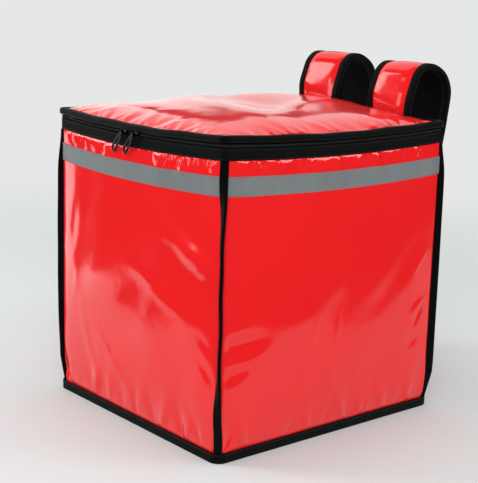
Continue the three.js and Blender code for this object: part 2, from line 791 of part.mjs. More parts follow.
function strapEnd(strap) {
  const half = strapEndWidth / 2;
  const rings = [seamGap, seamGap + strapEndHeight].map((distance) => [
    [-half, 0], [half, 0], [half, strapThickness], [-half, strapThickness],
  ].map(([across, depth]) => belowPad(strap, distance, across, depth)));
  return skin(rings);
}

const adjusterStart = 2 * seamGap + strapEndHeight;
const adjusterDepth = (strapThickness - adjusterThickness) / 2;

// A ladder-lock: a plate with two slots, in line with the strap
function strapAdjuster(strap) {
  const half = adjusterWidth / 2;
  const plate = new THREE.Shape([
    new Vector2(-half, 0), new Vector2(half, 0), new Vector2(half, adjusterHeight),
    new Vector2(-half, adjusterHeight),
  ]);
  const slotHeight = (adjusterHeight - 3 * adjusterBar) / 2;
  [adjusterBar, 2 * adjusterBar + slotHeight].forEach((low) => {
    const reach = half - adjusterBar;
    plate.holes.push(new THREE.Path([
      new Vector2(-reach, low), new Vector2(-reach, low + slotHeight),
      new Vector2(reach, low + slotHeight), new Vector2(reach, low),
    ]));
  });
  const geometry = new THREE.ExtrudeGeometry(plate, { depth: adjusterThickness, bevelEnabled: false });
  const { tangent, inward } = strapStation(strap, 1);
  const across = tangent.clone().cross(inward);
  const origin = belowPad(strap, adjusterStart, 0, adjusterDepth);
  return geometry.applyMatrix4(new THREE.Matrix4().makeBasis(across, tangent, inward).setPosition(origin));
}

// Flat webbing from the adjuster down to the foot of the back wall
function strapWebbing(strap) {
  const start = belowPad(strap, adjusterStart + adjusterHeight + seamGap, 0, strapThickness / 2);
  const onward = start.clone().addScaledVector(strapStation(strap, 1).tangent, webbingWidth / 2);
  const wallFace = halfDepth + seamGap + webbingThickness / 2;
  const hemTop = webbingLowest + webbingHem;
  const curve = smoothRoute([
    [start.y, start.z], [onward.y, onward.z],
    [mix(wallFace, onward.y, webbingBend.back), mix(hemTop, onward.z, webbingBend.up)],
    [wallFace, hemTop], [wallFace, webbingLowest],
  ]);
  const half = webbingWidth / 2;
  const rings = spread(webbingSteps, (share) => {
    const tangent = curve.getTangentAt(share);
    const inward = new Vector3(0, tangent.z, -tangent.y);
    return [[-half, -1], [half, -1], [half, 1], [-half, 1]].map(([across, face]) => curve.getPointAt(share)
      .addScaledVector(inward, face * webbingThickness / 2).add(new Vector3(strap.side + across, 0, 0)));
  });
  return skin(rings);
}

// The bag
const bag = new THREE.Group();

function add(name, geometry, finish, parent = bag) {
  const mesh = new THREE.Mesh(geometry, finish);
  mesh.name = name;
  parent.add(mesh);
  return mesh;
}

sideNames.forEach((name) => add(`${name}_panel`, wallPanel(name), redVinyl));
add('base_panel', basePanel(), blackBinding);
add('lid_panel', lidPanel(), redVinyl);

add('base_binding', baseBinding(), blackBinding);
Object.keys(corners).forEach((name) => add(`corner_binding_${name}`, cornerBinding(name), blackBinding));
zipSides.forEach((name) => add(`reflective_strip_${name}`, reflectiveStrip(name), reflectiveTape));

add('zip_lower_tape', lowerTape(), zipTape);
add('zip_coil', coil(), zipCoil);
add('zip_upper_tape', upperTape(), zipTape);
add('lid_binding', lidBinding(), blackBinding);
add('lid_hinge', lidHinge(), blackBinding);

// The sliders stand on the coil at the middle of the front
Object.entries({ left: -1, right: 1 }).forEach(([name, sign]) => {
  const x = sign * sliderSpacing / 2;
  const along = 0.5 + x / (2 * (halfWidth - cornerSetback));
  const seat = new THREE.Group();
  seat.position.set(x, -(halfDepth + bulgeAt('front', along, wallTop) + barOut),
    coilMiddle - sagAt('front', along, wallTop));
  seat.rotation.z = Math.PI;
  add(`slider_${name}`, sliderBody(), sliderMetal, seat);
  const hanging = new THREE.Group();
  hanging.rotation.set(-pullerTilt, -pullerLean, 0, 'YXZ');
  add(`puller_${name}`, puller(), sliderMetal, hanging);
  seat.add(hanging);
  bag.add(seat);
});

Object.entries(straps).forEach(([name, strap]) => {
  add(`strap_pad_${name}`, strapPad(strap), redVinyl);
  add(`strap_lining_${name}`, strapLining(strap), blackMesh);
  add(`strap_edge_left_${name}`, strapEdge(strap, -1), blackBinding);
  add(`strap_edge_right_${name}`, strapEdge(strap, 1), blackBinding);
  add(`strap_end_${name}`, strapEnd(strap), blackWebbing);
  add(`strap_adjuster_${name}`, strapAdjuster(strap), blackPlastic);
  add(`strap_webbing_${name}`, strapWebbing(strap), blackWebbing);
});

export default bag;
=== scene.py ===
import math

import bmesh
import bpy
import numpy as np
from mathutils import Matrix, Vector


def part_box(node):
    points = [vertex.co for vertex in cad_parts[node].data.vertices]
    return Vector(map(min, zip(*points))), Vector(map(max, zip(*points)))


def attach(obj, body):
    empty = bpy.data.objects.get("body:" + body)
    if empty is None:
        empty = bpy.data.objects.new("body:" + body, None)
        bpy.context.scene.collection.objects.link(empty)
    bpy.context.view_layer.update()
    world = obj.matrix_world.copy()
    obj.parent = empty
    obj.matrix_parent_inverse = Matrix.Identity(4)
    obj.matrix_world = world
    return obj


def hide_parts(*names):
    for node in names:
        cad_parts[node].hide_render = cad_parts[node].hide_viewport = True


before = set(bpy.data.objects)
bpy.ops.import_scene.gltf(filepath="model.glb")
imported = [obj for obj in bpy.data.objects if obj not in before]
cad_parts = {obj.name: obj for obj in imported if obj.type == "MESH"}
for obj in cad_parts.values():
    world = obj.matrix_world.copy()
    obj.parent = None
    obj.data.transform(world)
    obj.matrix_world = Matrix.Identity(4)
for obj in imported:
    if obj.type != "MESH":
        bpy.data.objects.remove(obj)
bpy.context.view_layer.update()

# The camera stands to the front right of the bag, a little above its lid, and sees the right wall
# somewhat wider than the front one.
VIEW_FROM = Vector((1.2841, -1.0971, 0.5934))
VIEW_TURN, VIEW_DIP, VIEW_ROLL = (math.radians(angle) for angle in (49.889, 12.016, 1.696))
VIEW_LENS = 88.55

camera = bpy.data.objects.new("camera", bpy.data.cameras.new("camera"))
bpy.context.collection.objects.link(camera)
camera.data.lens = VIEW_LENS
camera.matrix_world = (Matrix.Translation(VIEW_FROM) @ Matrix.Rotation(VIEW_TURN, 4, "Z")
                       @ Matrix.Rotation(math.pi / 2 - VIEW_DIP, 4, "X") @ Matrix.Rotation(VIEW_ROLL, 4, "Z"))
bpy.context.scene.camera = camera
bpy.context.scene.view_settings.view_transform = "Standard"


# The studio is a pale floor that fades into a pale room, under four softboxes. The gloss sees only
# plain glowing cards, a lit table and panels round the room, and black between them.
class Shade:
    """A socket in a material. Sums and products of shades add the Math nodes that they need."""

    def __init__(self, socket):
        self.socket = socket

    def math(self, operation, other):
        return node(self.socket.id_data, "ShaderNodeMath", {"operation": operation}, {0: self, 1: other})

    def __add__(self, other):
        return self.math("ADD", other)

    def __mul__(self, other):
        return self.math("MULTIPLY", other)

    __radd__, __rmul__ = __add__, __mul__


def node(tree, kind, settings=(), inputs=(), output=0):
    """Adds a node: its settings or a ramp's stops first, then the values or links of its sockets."""
    made = tree.nodes.new(kind)
    for name, value in dict(settings).items():
        if name == "stops":
            ramp = made.color_ramp.elements
            while len(ramp) < len(value):
                ramp.new(0.5)
            for element, (place, colour) in zip(ramp, value):
                element.position, element.color = place, (*colour, 1)
        else:
            setattr(made, name, value)
    for name, value in dict(inputs).items():
        if isinstance(value, Shade):
            tree.links.new(value.socket, made.inputs[name])
        else:
            made.inputs[name].default_value = value
    return Shade(made.outputs[output])


class Finish:
    """A material that is written as expressions, with its Principled shader's sockets set by name."""

    def __init__(self, name, **constants):
        self.material = bpy.data.materials.new(name)
        self.material.use_nodes = True
        self.tree = self.material.node_tree
        self.shader = self.tree.nodes["Principled BSDF"]
        self.place = self.node("ShaderNodeTexCoord", output="Object")
        for socket, value in constants.items():
            self.set(socket.replace("_", " ").title().replace("Ior", "IOR"), value)

    def node(self, kind, settings=(), inputs=(), output=0):
        return node(self.tree, kind, settings, inputs, output)

    def set(self, socket, value):
        if isinstance(value, Shade):
            self.tree.links.new(value.socket, self.shader.inputs[socket])
        else:
            self.shader.inputs[socket].default_value = value

    def noise(self, scale, detail=3, stretch=(1, 1, 1)):
        """Soft noise about 0.5, at a scale in cycles a metre."""
        spot = self.node("ShaderNodeVectorMath", {"operation": "MULTIPLY"}, {0: self.place, 1: stretch})
        return self.node("ShaderNodeTexNoise", (), {"Vector": spot, "Scale": scale, "Detail": detail})

    def waves(self, direction, cycles):
        """A sine from 0 to 1 along a direction, at a number of cycles a metre."""
        along = self.node("ShaderNodeVectorMath", {"operation": "DOT_PRODUCT"},
                          {0: self.place, 1: direction}, "Value")
        wave = self.node("ShaderNodeMath", {"operation": "SINE"}, {0: along * (math.tau * cycles)})
        return wave * 0.5 + 0.5

    def blend(self, share, first, second):
        return self.node("ShaderNodeMix", {"data_type": "RGBA"},
                         {"Factor": share, 6: (*first, 1) if isinstance(first, tuple) else first,
                          7: (*second, 1) if isinstance(second, tuple) else second}, 2)

    def bump(self, height, depth):
        """Relief of a depth in metres for a height from 0 to 1."""
        self.set("Normal", self.node("ShaderNodeBump", (), {"Height": height, "Distance": depth}))


def glow(name, strength, colour=(1, 1, 1)):
    finish = Finish(name, emission_strength=strength)
    finish.set("Base Color", (0, 0, 0, 1))
    finish.set("Specular IOR Level", 0)
    finish.set("Emission Color", (*colour, 1))
    return finish


def stage_piece(name, corners, finish, seen_by=("camera", "diffuse", "glossy", "shadow")):
    """A flat stage piece through its corners, seen only by the rays that are named."""
    mesh = bpy.data.meshes.new(name)
    mesh.from_pydata(corners, [], [range(len(corners))])
    piece = bpy.data.objects.new(name, mesh)
    bpy.context.collection.objects.link(piece)
    mesh.materials.append(finish.material)
    for ray in ("camera", "diffuse", "glossy", "shadow", "transmission", "volume_scatter"):
        setattr(piece, "visible_" + ray, ray in seen_by)
    return piece


def softbox(name, place, size, power, aim=(0, 0, 0.2)):
    light = bpy.data.objects.new(name, bpy.data.lights.new(name, "AREA"))
    bpy.context.collection.objects.link(light)
    light.data.shape = "RECTANGLE"
    light.data.size, light.data.size_y = size
    light.data.energy = power
    light.visible_glossy = False
    light.location = place
    light.rotation_mode = "QUATERNION"
    light.rotation_quaternion = (Vector(aim) - Vector(place)).to_track_quat("-Z", "Y")


ROOM_GREY = (0.80, 0.82, 0.81)
FLOOR_TONE = (0.61, 0.635, 0.64)
FLOOR_STAIN = (0.64, 0.66, 0.66)
FLOOR_REACH = 6
FLOOR_FADE = (0.55, 2.2)

room = bpy.data.worlds.new("room")
bpy.context.scene.world = room
room.use_nodes = True
room.node_tree.nodes["Background"].inputs["Color"].default_value = (*ROOM_GREY, 1)
room.node_tree.nodes["Background"].inputs["Strength"].default_value = 0.98
room.cycles_visibility.glossy = False

floor_paint = Finish("floor_paint", roughness=0.9, specular_ior_level=0)
floor_paint.set("Base Color", floor_paint.blend(floor_paint.noise(3) * 0.2, FLOOR_TONE, FLOOR_STAIN))
away = floor_paint.node("ShaderNodeVectorMath", {"operation": "LENGTH"}, {0: floor_paint.place}, "Value")
floor_paint.set("Alpha", floor_paint.node(
    "ShaderNodeMapRange", {"interpolation_type": "SMOOTHSTEP"},
    {"Value": away, "From Min": FLOOR_FADE[0], "From Max": FLOOR_FADE[1], "To Min": 1.0, "To Max": 0.0}))
stage_piece("floor", [(FLOOR_REACH * x, FLOOR_REACH * y, 0) for x, y in ((-1, -1), (1, -1), (1, 1), (-1, 1))],
            floor_paint, ("camera", "diffuse", "shadow"))

# The lit table lies behind and to the left of its edge, and glows less from its left to its right
CARD_HEIGHT = 0.0005
TABLE_EDGE = [(-3, -1.5), (-1.12, -0.7), (-0.92, -0.58), (-0.8, -0.66), (-0.67, -0.7), (-0.54, -0.59),
              (-0.45, -0.5), (-0.32, -0.54), (-0.22, -0.56), (-0.1, -0.5), (0.3, -0.3), (0.52, -0.05),
              (0.52, 0.05), (0.57, 0.14), (0.61, 0.26), (0.56, 0.37), (0.575, 0.45), (0.58, 0.54), (0.6, 0.6),
              (0.63, 0.7), (0.7, 0.85), (0.72, 1.0), (0.68, 1.2), (0.9, 3)]
TABLE_SPAN = (-1.8, 0.2)
TABLE_GLOW = [(0.36, (2.3, 2.35, 2.35)), (0.6, (1.35, 1.38, 1.38)), (0.8, (0.85, 0.87, 0.87)),
              (1.0, (0.72, 0.74, 0.74))]
table_white = glow("lit_table_white", 1.0)
across_table = table_white.node("ShaderNodeSeparateXYZ", (), {0: table_white.place})
table_length = TABLE_SPAN[1] - TABLE_SPAN[0]
table_share = across_table * (1 / table_length) + (-TABLE_SPAN[0] / table_length)
table_ramp = table_white.node("ShaderNodeValToRGB", {"stops": TABLE_GLOW}, {0: table_share})
table_white.set("Emission Color", table_ramp)
stage_piece("lit_table", [(x, y, CARD_HEIGHT) for x, y in [*TABLE_EDGE, (-3, 3)]], table_white, ("glossy",))

# Panels round the room, for the gloss: turn is degrees from the back towards the bag's left
PANELS = {
    "left_backdrop": {"turn": (53, 100), "rise": (-14, 16), "strength": 1.15},
    "backdrop": {"turn": (45, 53), "rise": (-14, 18), "strength": 1.0},
    "far_backdrop": {"turn": (0, 45), "rise": (-14, 12), "strength": 0.8},
    "canopy": {"turn": (45, 100), "rise": (25, 62), "strength": 1.15},
    "far_canopy": {"turn": (0, 45), "rise": (19, 62), "strength": 1.15},
    "side": {"turn": (62, 110), "rise": (-14, 40), "strength": 1.7},
    "front_box": {"turn": (112, 135), "rise": (14, 40), "strength": 6},
    "right_box": {"turn": (-68, -30), "rise": (18, 46), "strength": 6},
    "front_strip": {"turn": (145, 152), "rise": (-2, 30), "strength": 4},
}
PANEL_DISTANCE = 2.6
PANEL_STEPS = 8
PANEL_HEART = Vector((0, 0, 0.35))
for name, panel in PANELS.items():
    turns, rises = ([math.radians(low + (high - low) * step / PANEL_STEPS) for step in range(PANEL_STEPS + 1)]
                    for low, high in (panel["turn"], panel["rise"]))
    outline = ([(turn, rises[0]) for turn in turns] + [(turns[-1], rise) for rise in rises[1:]]
               + [(turn, rises[-1]) for turn in turns[-2::-1]]
               + [(turns[0], rise) for rise in rises[-2:0:-1]])
    corners = [PANEL_HEART + PANEL_DISTANCE * Vector((-math.sin(turn) * math.cos(rise),
                                                      math.cos(turn) * math.cos(rise), math.sin(rise)))
               for turn, rise in outline]
    stage_piece(name, corners, glow(name + "_white", panel["strength"]), ("glossy",))
softbox("key", place=(-1.35, -1.45, 1.2), size=(0.6, 0.6), power=18)
softbox("fill", place=(1.6, 1.2, 1.2), size=(0.9, 0.9), power=10)
softbox("overhead", place=(0.0, -0.1, 2.3), size=(1.0, 1.0), power=6)
softbox("front", place=(1.6, -1.4, 0.9), size=(0.9, 0.9), power=20)


# The four walls are glossy red vinyl drawn over foam, sewn into the bindings at their edges. The
# film puckers under the zip tape, creases at the bottom seam and waves over the foam.
SEAM_GAP = 0.0003
BINDING_OUT = 0.003
HALF_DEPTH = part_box("back_panel")[1].y
HALF_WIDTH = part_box("base_binding")[1].x - BINDING_OUT - SEAM_GAP
WALL_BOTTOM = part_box("back_panel")[0].z
WALL_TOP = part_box("right_panel")[1].z
BASE_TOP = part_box("base_binding")[1].z
STRIP_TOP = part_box("reflective_strip_right")[1].z
TAPE_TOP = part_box("zip_lower_tape")[1].z
LOWER_TAPE_HEIGHT = 0.0155
TAPE_BOTTOM = TAPE_TOP - LOWER_TAPE_HEIGHT
STRIP_HEIGHT = 0.025
STRIP_BOTTOM = STRIP_TOP - STRIP_HEIGHT
WALL_THICKNESS = 0.008
WALL_BULGE = 0.006
RIM_SAG = 0.0045
CORNER_SETBACK = 0.0051
BASE_ROUND = 0.012
CORNER_EASE = 0.036
PILLOW_REACH = 0.045
TAPE_DIP_WIDTH = 0.0035
BASE_DIP_WIDTH = 0.009
CORNER_SOFTNESS = 0.0006

# Each wall's plan: the ways out of it and along it, how far its plane lies from the bag's middle, half
# its width, whether its foam bulges, and its swell near its first and near its last side seam.
SIDES = {
    "front": {"outward": (0, -1), "along": (1, 0), "face": HALF_DEPTH, "half": HALF_WIDTH, "soft": 1,
              "pillow": (0.0030, 0.0018)},
    "right": {"outward": (1, 0), "along": (0, 1), "face": HALF_WIDTH, "half": HALF_DEPTH, "soft": 1,
              "pillow": (0.0022, 0.0024)},
    "back": {"outward": (0, 1), "along": (-1, 0), "face": HALF_DEPTH, "half": HALF_WIDTH, "soft": 0,
             "pillow": (0.0016, 0.0016)},
    "left": {"outward": (-1, 0), "along": (0, -1), "face": HALF_WIDTH, "half": HALF_DEPTH, "soft": 1,
             "pillow": (0.0020, 0.0020)},
}

# Broad folds: along and up place the middle as shares of the width and of the height up to the
# strip; length and width are shares of the width; turn is degrees from level; depth is in metres.
FOLDS = {
    "front": [
        {"along": 0.22, "up": 0.22, "length": 0.34, "width": 0.11, "turn": 48, "depth": 0.0020},
        {"along": 0.62, "up": 0.50, "length": 0.30, "width": 0.12, "turn": 35, "depth": 0.0014},
        {"along": 0.40, "up": 0.78, "length": 0.26, "width": 0.10, "turn": -30, "depth": 0.0010},
        {"along": 0.85, "up": 0.77, "length": 0.13, "width": 0.042, "turn": -22, "depth": -0.0038},
        {"along": 0.93, "up": 0.715, "length": 0.05, "width": 0.016, "turn": 24, "depth": -0.0008},
        {"along": 0.66, "up": 0.590, "length": 0.15, "width": 0.030, "turn": -22, "depth": -0.0012},
        {"along": 0.36, "up": 0.24, "length": 0.17, "width": 0.022, "turn": -45, "depth": -0.0009},
        {"along": 0.27, "up": 0.20, "length": 0.16, "width": 0.020, "turn": -58, "depth": 0.0007},
        {"along": 0.47, "up": 0.15, "length": 0.12, "width": 0.018, "turn": -40, "depth": -0.0006},
        {"along": 0.19, "up": 0.32, "length": 0.22, "width": 0.030, "turn": -70, "depth": -0.0008},
        {"along": 0.10, "up": 0.74, "length": 0.10, "width": 0.030, "turn": 80, "depth": 0.0008},
        {"along": 0.12, "up": 0.50, "length": 0.08, "width": 0.022, "turn": 72, "depth": -0.0007},
        {"along": 0.93, "up": 0.44, "length": 0.05, "width": 0.020, "turn": -30, "depth": 0.0005},
        {"along": 0.94, "up": 0.34, "length": 0.06, "width": 0.020, "turn": -42, "depth": 0.0006},
        {"along": 0.94, "up": 0.22, "length": 0.05, "width": 0.018, "turn": -28, "depth": 0.0005},
    ],
    "right": [
        {"along": 0.30, "up": 0.30, "length": 0.36, "width": 0.11, "turn": 40, "depth": 0.0018},
        {"along": 0.78, "up": 0.52, "length": 0.30, "width": 0.09, "turn": 62, "depth": 0.0008},
        {"along": 0.55, "up": 0.12, "length": 0.22, "width": 0.08, "turn": 30, "depth": 0.0014},
        {"along": 0.07, "up": 0.785, "length": 0.07, "width": 0.012, "turn": -25, "depth": -0.0007},
        {"along": 0.06, "up": 0.44, "length": 0.10, "width": 0.032, "turn": 4, "depth": 0.0034},
        {"along": 0.05, "up": 0.33, "length": 0.07, "width": 0.022, "turn": 12, "depth": 0.0018},
        {"along": 0.385, "up": 0.39, "length": 0.07, "width": 0.012, "turn": 75, "depth": -0.0005},
        {"along": 0.50, "up": 0.38, "length": 0.08, "width": 0.012, "turn": 85, "depth": -0.0005},
        {"along": 0.34, "up": 0.20, "length": 0.10, "width": 0.015, "turn": 72, "depth": -0.0006},
        {"along": 0.48, "up": 0.17, "length": 0.11, "width": 0.014, "turn": 85, "depth": -0.0005},
        {"along": 0.60, "up": 0.20, "length": 0.07, "width": 0.014, "turn": 80, "depth": -0.0004},
        {"along": 0.83, "up": 0.10, "length": 0.05, "width": 0.010, "turn": 60, "depth": -0.0008},
        {"along": 0.915, "up": 0.64, "length": 0.035, "width": 0.009, "turn": 45, "depth": -0.0013},
        {"along": 0.935, "up": 0.46, "length": 0.04, "width": 0.010, "turn": 30, "depth": -0.0013},
        {"along": 0.92, "up": 0.41, "length": 0.06, "width": 0.012, "turn": 60, "depth": 0.0014},
        {"along": 0.905, "up": 0.31, "length": 0.05, "width": 0.025, "turn": 20, "depth": 0.0020},
    ],
    "back": [
        {"along": 0.5, "up": 0.5, "length": 0.4, "width": 0.2, "turn": 90, "depth": 0.0014},
        {"along": 0.3, "up": 0.7, "length": 0.2, "width": 0.03, "turn": 70, "depth": -0.0008},
    ],
    "left": [
        {"along": 0.35, "up": 0.40, "length": 0.34, "width": 0.12, "turn": -40, "depth": 0.0014},
        {"along": 0.70, "up": 0.60, "length": 0.30, "width": 0.10, "turn": 50, "depth": 0.0014},
        {"along": 0.55, "up": 0.25, "length": 0.16, "width": 0.022, "turn": -60, "depth": -0.0008},
    ],
}

# How strongly each wall's film puckers under the tape, at shares of the wall's width
PUCKERS = {
    "front": {"share": (0, 0.2, 0.45, 0.6, 0.85, 1), "strength": (0.4, 0.3, 0.6, 1.0, 1.0, 0.3)},
    "right": {"share": (0, 0.1, 0.5, 0.6, 0.9, 1), "strength": (0.6, 1.0, 0.8, 0.9, 0.8, 0.3)},
    "back": {"share": (0, 1), "strength": (0.3, 0.3)},
    "left": {"share": (0, 0.5, 1), "strength": (0.4, 0.9, 0.4)},
}

# The short folds at the seams: puckers under the tape and creases over the base binding. Each grows
# from nothing at its seam, and the longer its reach, the further off it is deepest.
SEAM_FOLDS = [
    {"count": 60, "seam": TAPE_BOTTOM, "way": -1, "peak": 0.004, "reach": (0.35, 1.1)},
    {"count": 12, "seam": BASE_TOP, "way": 1, "peak": 0.006, "reach": (0.8, 2.4)},
]
SEAM_FOLD_DEPTH = 0.0013
SEAM_FOLD_LEAN = 0.7
SEAM_FOLD_WIDTH = (0.0018, 0.0042)
RIPPLE_COUNT = 9
RIPPLE_LENGTH = (0.045, 0.13)
RIPPLE_DEPTH = 0.0016


def hump(share):
    return 4 * share * (1 - share)


def smooth(value, low, high):
    share = np.clip((value - low) / (high - low), 0, 1)
    return share * share * (3 - 2 * share)


def mound(x, y, turn, length, width):
    """A soft long mound: 1 in the middle, fading along its length and width."""
    angle = math.radians(turn)
    lengthwise = (x * math.cos(angle) + y * math.sin(angle)) / length
    across = (y * math.cos(angle) - x * math.sin(angle)) / width
    return np.exp(-lengthwise ** 2 - across ** 2)


def rise_share(height):
    return (height - WALL_BOTTOM) / (STRIP_BOTTOM - WALL_BOTTOM)


def corner_setback(height):
    """How far a corner's rounding is cut back from its edge: more at the base than above it."""
    return BASE_ROUND + (CORNER_SETBACK - BASE_ROUND) * np.clip((height - BASE_TOP) / CORNER_EASE, 0, 1)


def bulge(side, share, height):
    rise = np.clip(rise_share(height), 0, 1)
    return SIDES[side]["soft"] * WALL_BULGE * hump(share) * (1 - (1 - rise) ** 3)


def sag(side, share, height):
    return SIDES[side]["soft"] * RIM_SAG * hump(share) * np.clip(rise_share(height), 0, 1)


def on_side(side, along, out, up):
    """Points of a side from distances along it, out from the bag's middle and up."""
    outward, along_line = (np.array((*SIDES[side][key], 0.0)) for key in ("outward", "along"))
    along, out, up = np.broadcast_arrays(along, out, up)
    return along[..., None] * along_line + out[..., None] * outward + up[..., None] * np.array((0, 0, 1.0))


def broad_folds(side, share, height):
    up = rise_share(height)
    tall = (STRIP_BOTTOM - WALL_BOTTOM) / (2 * SIDES[side]["half"])
    depth = sum(fold["depth"] * mound(share - fold["along"], (up - fold["up"]) * tall, fold["turn"],
                                      fold["length"], fold["width"]) for fold in FOLDS[side])
    inside = np.clip(up, 0, 1)
    return depth * np.minimum(1, 8 * hump(share)) * np.minimum(1, 2 * hump(inside))


def seam_folds(side, share, height):
    """The puckers and creases at a wall's two seams, as heights."""
    random = np.random.default_rng(list(SIDES).index(side) + 5)
    width = 2 * SIDES[side]["half"]
    total = np.zeros(np.broadcast(share, height).shape)
    for kind in SEAM_FOLDS:
        count, peak = kind["count"], kind["peak"]
        away = np.maximum(kind["way"] * (height - kind["seam"]), 0)
        for place in (np.arange(count) + random.uniform(0.1, 0.9, count)) / count:
            lean, narrow = random.uniform(-SEAM_FOLD_LEAN, SEAM_FOLD_LEAN), random.uniform(*SEAM_FOLD_WIDTH)
            length = peak * (1 + 2 * random.uniform(*kind["reach"]))
            strength = SEAM_FOLD_DEPTH * random.uniform(-1, 1)
            if kind["seam"] == TAPE_BOTTOM:
                strength *= np.interp(place, PUCKERS[side]["share"], PUCKERS[side]["strength"])
            across = ((share - place) * width - lean * away) / (narrow + 0.25 * away)
            fade = (away / peak) * np.exp(1 - away / length * 1.6)
            total = total + strength * np.exp(-across ** 2) * fade
    return total


def pillow(side, share, height):
    """The foam's swell: none at the seams, and full a little way in from them."""
    half = SIDES[side]["half"]
    swells = []
    for to_seam in (share, 1 - share):
        inside = np.clip(to_seam * 2 * half / PILLOW_REACH, 0, 1)
        swells.append(1 - (1 - inside) ** 2)
    first, last = SIDES[side]["pillow"]
    depth = first + (last - first) * smooth(share, 0.2, 0.8)
    from_tape = np.maximum(TAPE_BOTTOM - height, 0)
    from_base = np.maximum(height - BASE_TOP, 0)
    return (depth * swells[0] * swells[1] * (1 - np.exp(-from_tape / TAPE_DIP_WIDTH))
            * (1 - np.exp(-from_base / BASE_DIP_WIDTH)))


def ripples(side, share, height):
    """Faint long waves in the film, from a few crossing ripples."""
    random = np.random.default_rng(list(SIDES).index(side) + 41)
    width = 2 * SIDES[side]["half"]
    total = 0
    for _ in range(RIPPLE_COUNT):
        turn, length = random.uniform(0, math.pi), random.uniform(*RIPPLE_LENGTH)
        phase = random.uniform(0, math.tau)
        run = share * width * math.cos(turn) + height * math.sin(turn)
        total = total + length * np.sin(run / length * math.tau + phase)
    return RIPPLE_DEPTH * total * np.minimum(1, 3 * hump(share)) * smooth(height, BASE_TOP, BASE_TOP + 0.03)


def film(side, share, height):
    """How far the vinyl stands out from the wall's plane, at shares of the width and heights."""
    fade = 1 - np.exp(-np.maximum(TAPE_BOTTOM - height, 0) / TAPE_DIP_WIDTH)
    return (bulge(side, share, height) + pillow(side, share, height) - broad_folds(side, share, height)
            + seam_folds(side, share, height) + ripples(side, share, height) * fade)


def grid_faces(rows, columns, start=0, comes_round=False):
    """The quads of a grid of points, row after row, from a first point's number."""
    spans = columns if comes_round else columns - 1
    row, column = np.meshgrid(np.arange(rows - 1), np.arange(spans), indexing="ij")
    here, after = row * columns + column, row * columns + (column + 1) % columns
    return (np.stack([here, after, after + columns, here + columns], -1).reshape(-1, 4) + start).tolist()


def add_piece(name, points, faces, finish, body="root", replaces=(), slot=None, sharp=50):
    """One closed mesh of the bag, in place, with its finish, its body and what it stands for."""
    mesh = bpy.data.meshes.new(name)
    mesh.from_pydata(np.asarray(points).reshape(-1, 3).tolist(), [], faces)
    shape = bmesh.new()
    shape.from_mesh(mesh)
    bmesh.ops.recalc_face_normals(shape, faces=shape.faces)
    shape.to_mesh(mesh)
    shape.free()
    mesh.shade_smooth()
    mesh.set_sharp_from_angle(angle=math.radians(sharp))
    mesh.materials.append(finish.material)
    piece = bpy.data.objects.new(name, mesh)
    bpy.context.collection.objects.link(piece)
    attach(piece, body)
    if replaces:
        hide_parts(*replaces)
    return piece


def slab(face, back):
    """A closed slab between two grids of the same rows and columns."""
    rows, columns = face.shape[:2]
    count = rows * columns
    faces = grid_faces(rows, columns) + [quad[::-1] for quad in grid_faces(rows, columns, count)]
    number = np.arange(count).reshape(rows, columns)
    rim = np.concatenate([number[0, :-1], number[:-1, -1], number[-1, :0:-1], number[:0:-1, 0]])
    ahead = np.roll(rim, -1)
    faces += np.stack([rim, ahead, ahead + count, rim + count], -1).tolist()
    return np.concatenate([face.reshape(-1, 3), back.reshape(-1, 3)]), faces


def sweep(rings, comes_round=False):
    """A closed body through rings of points, with flat ends unless it comes round."""
    count, around = rings.shape[:2]
    faces = grid_faces(count, around, comes_round=True)
    last = (count - 1) * around
    if comes_round:
        faces += [[last + i, last + (i + 1) % around, (i + 1) % around, i] for i in range(around)]
    else:
        faces += [list(range(around)), list(range(last, last + around))]
    return rings.reshape(-1, 3), faces


RED = (0.73, 0.0125, 0.0135)
DEEP_RED = (0.67, 0.0105, 0.0125)


def coated_cloth(name, roughness):
    finish = Finish(name, specular_ior_level=0.5)
    finish.set("Base Color", finish.blend(finish.noise(9, 2), RED, DEEP_RED))
    finish.set("Roughness", roughness + finish.noise(24, 2) * 0.05)
    weave = finish.waves((1, 1, 0), 900) * finish.waves((0, 0, 1), 900)
    finish.bump(finish.noise(55, 2) * 0.8 + finish.noise(420, 2) * 0.06 + weave * 0.02, 0.00022)
    return finish


vinyl = coated_cloth("red_vinyl", 0.085)

# The rows of points lie closest under the tape, where the puckers are small
WALL_COLUMNS = 230
WALL_BANDS = [(WALL_BOTTOM, BASE_TOP + 0.02, 16), (BASE_TOP + 0.02, TAPE_BOTTOM - 0.018, 72),
              (TAPE_BOTTOM - 0.018, TAPE_BOTTOM + 0.001, 34), (TAPE_BOTTOM + 0.001, WALL_TOP, 5)]
WALL_LEVELS = np.unique(np.concatenate([np.linspace(low, high, rows) for low, high, rows in WALL_BANDS]))
for side, plan in SIDES.items():
    height = WALL_LEVELS[:, None]
    share = np.linspace(0, 1, WALL_COLUMNS)
    share = (share - 0.5 * np.sin(math.tau * share) / math.tau)[None, :]
    setback = corner_setback(height)
    reach = plan["half"] - setback / 2 - SEAM_GAP
    along = (2 * share - 1) * reach
    to_edge = reach - np.abs(along)
    drop = CORNER_SOFTNESS * np.log1p(np.exp((setback / 2 - to_edge) / CORNER_SOFTNESS))
    up = height - sag(side, share, height)
    out = plan["face"] + film(side, share, height) - drop
    inner = plan["half"] - WALL_THICKNESS - SEAM_GAP
    lining = plan["face"] - WALL_THICKNESS + bulge(side, share, height)
    face = on_side(side, along, out, up)
    back = on_side(side, (2 * share - 1) * inner + 0 * height, lining, up)
    wall = add_piece("wall_" + side, *slab(face, back), vinyl, replaces=[side + "_panel"], slot="red_vinyl")


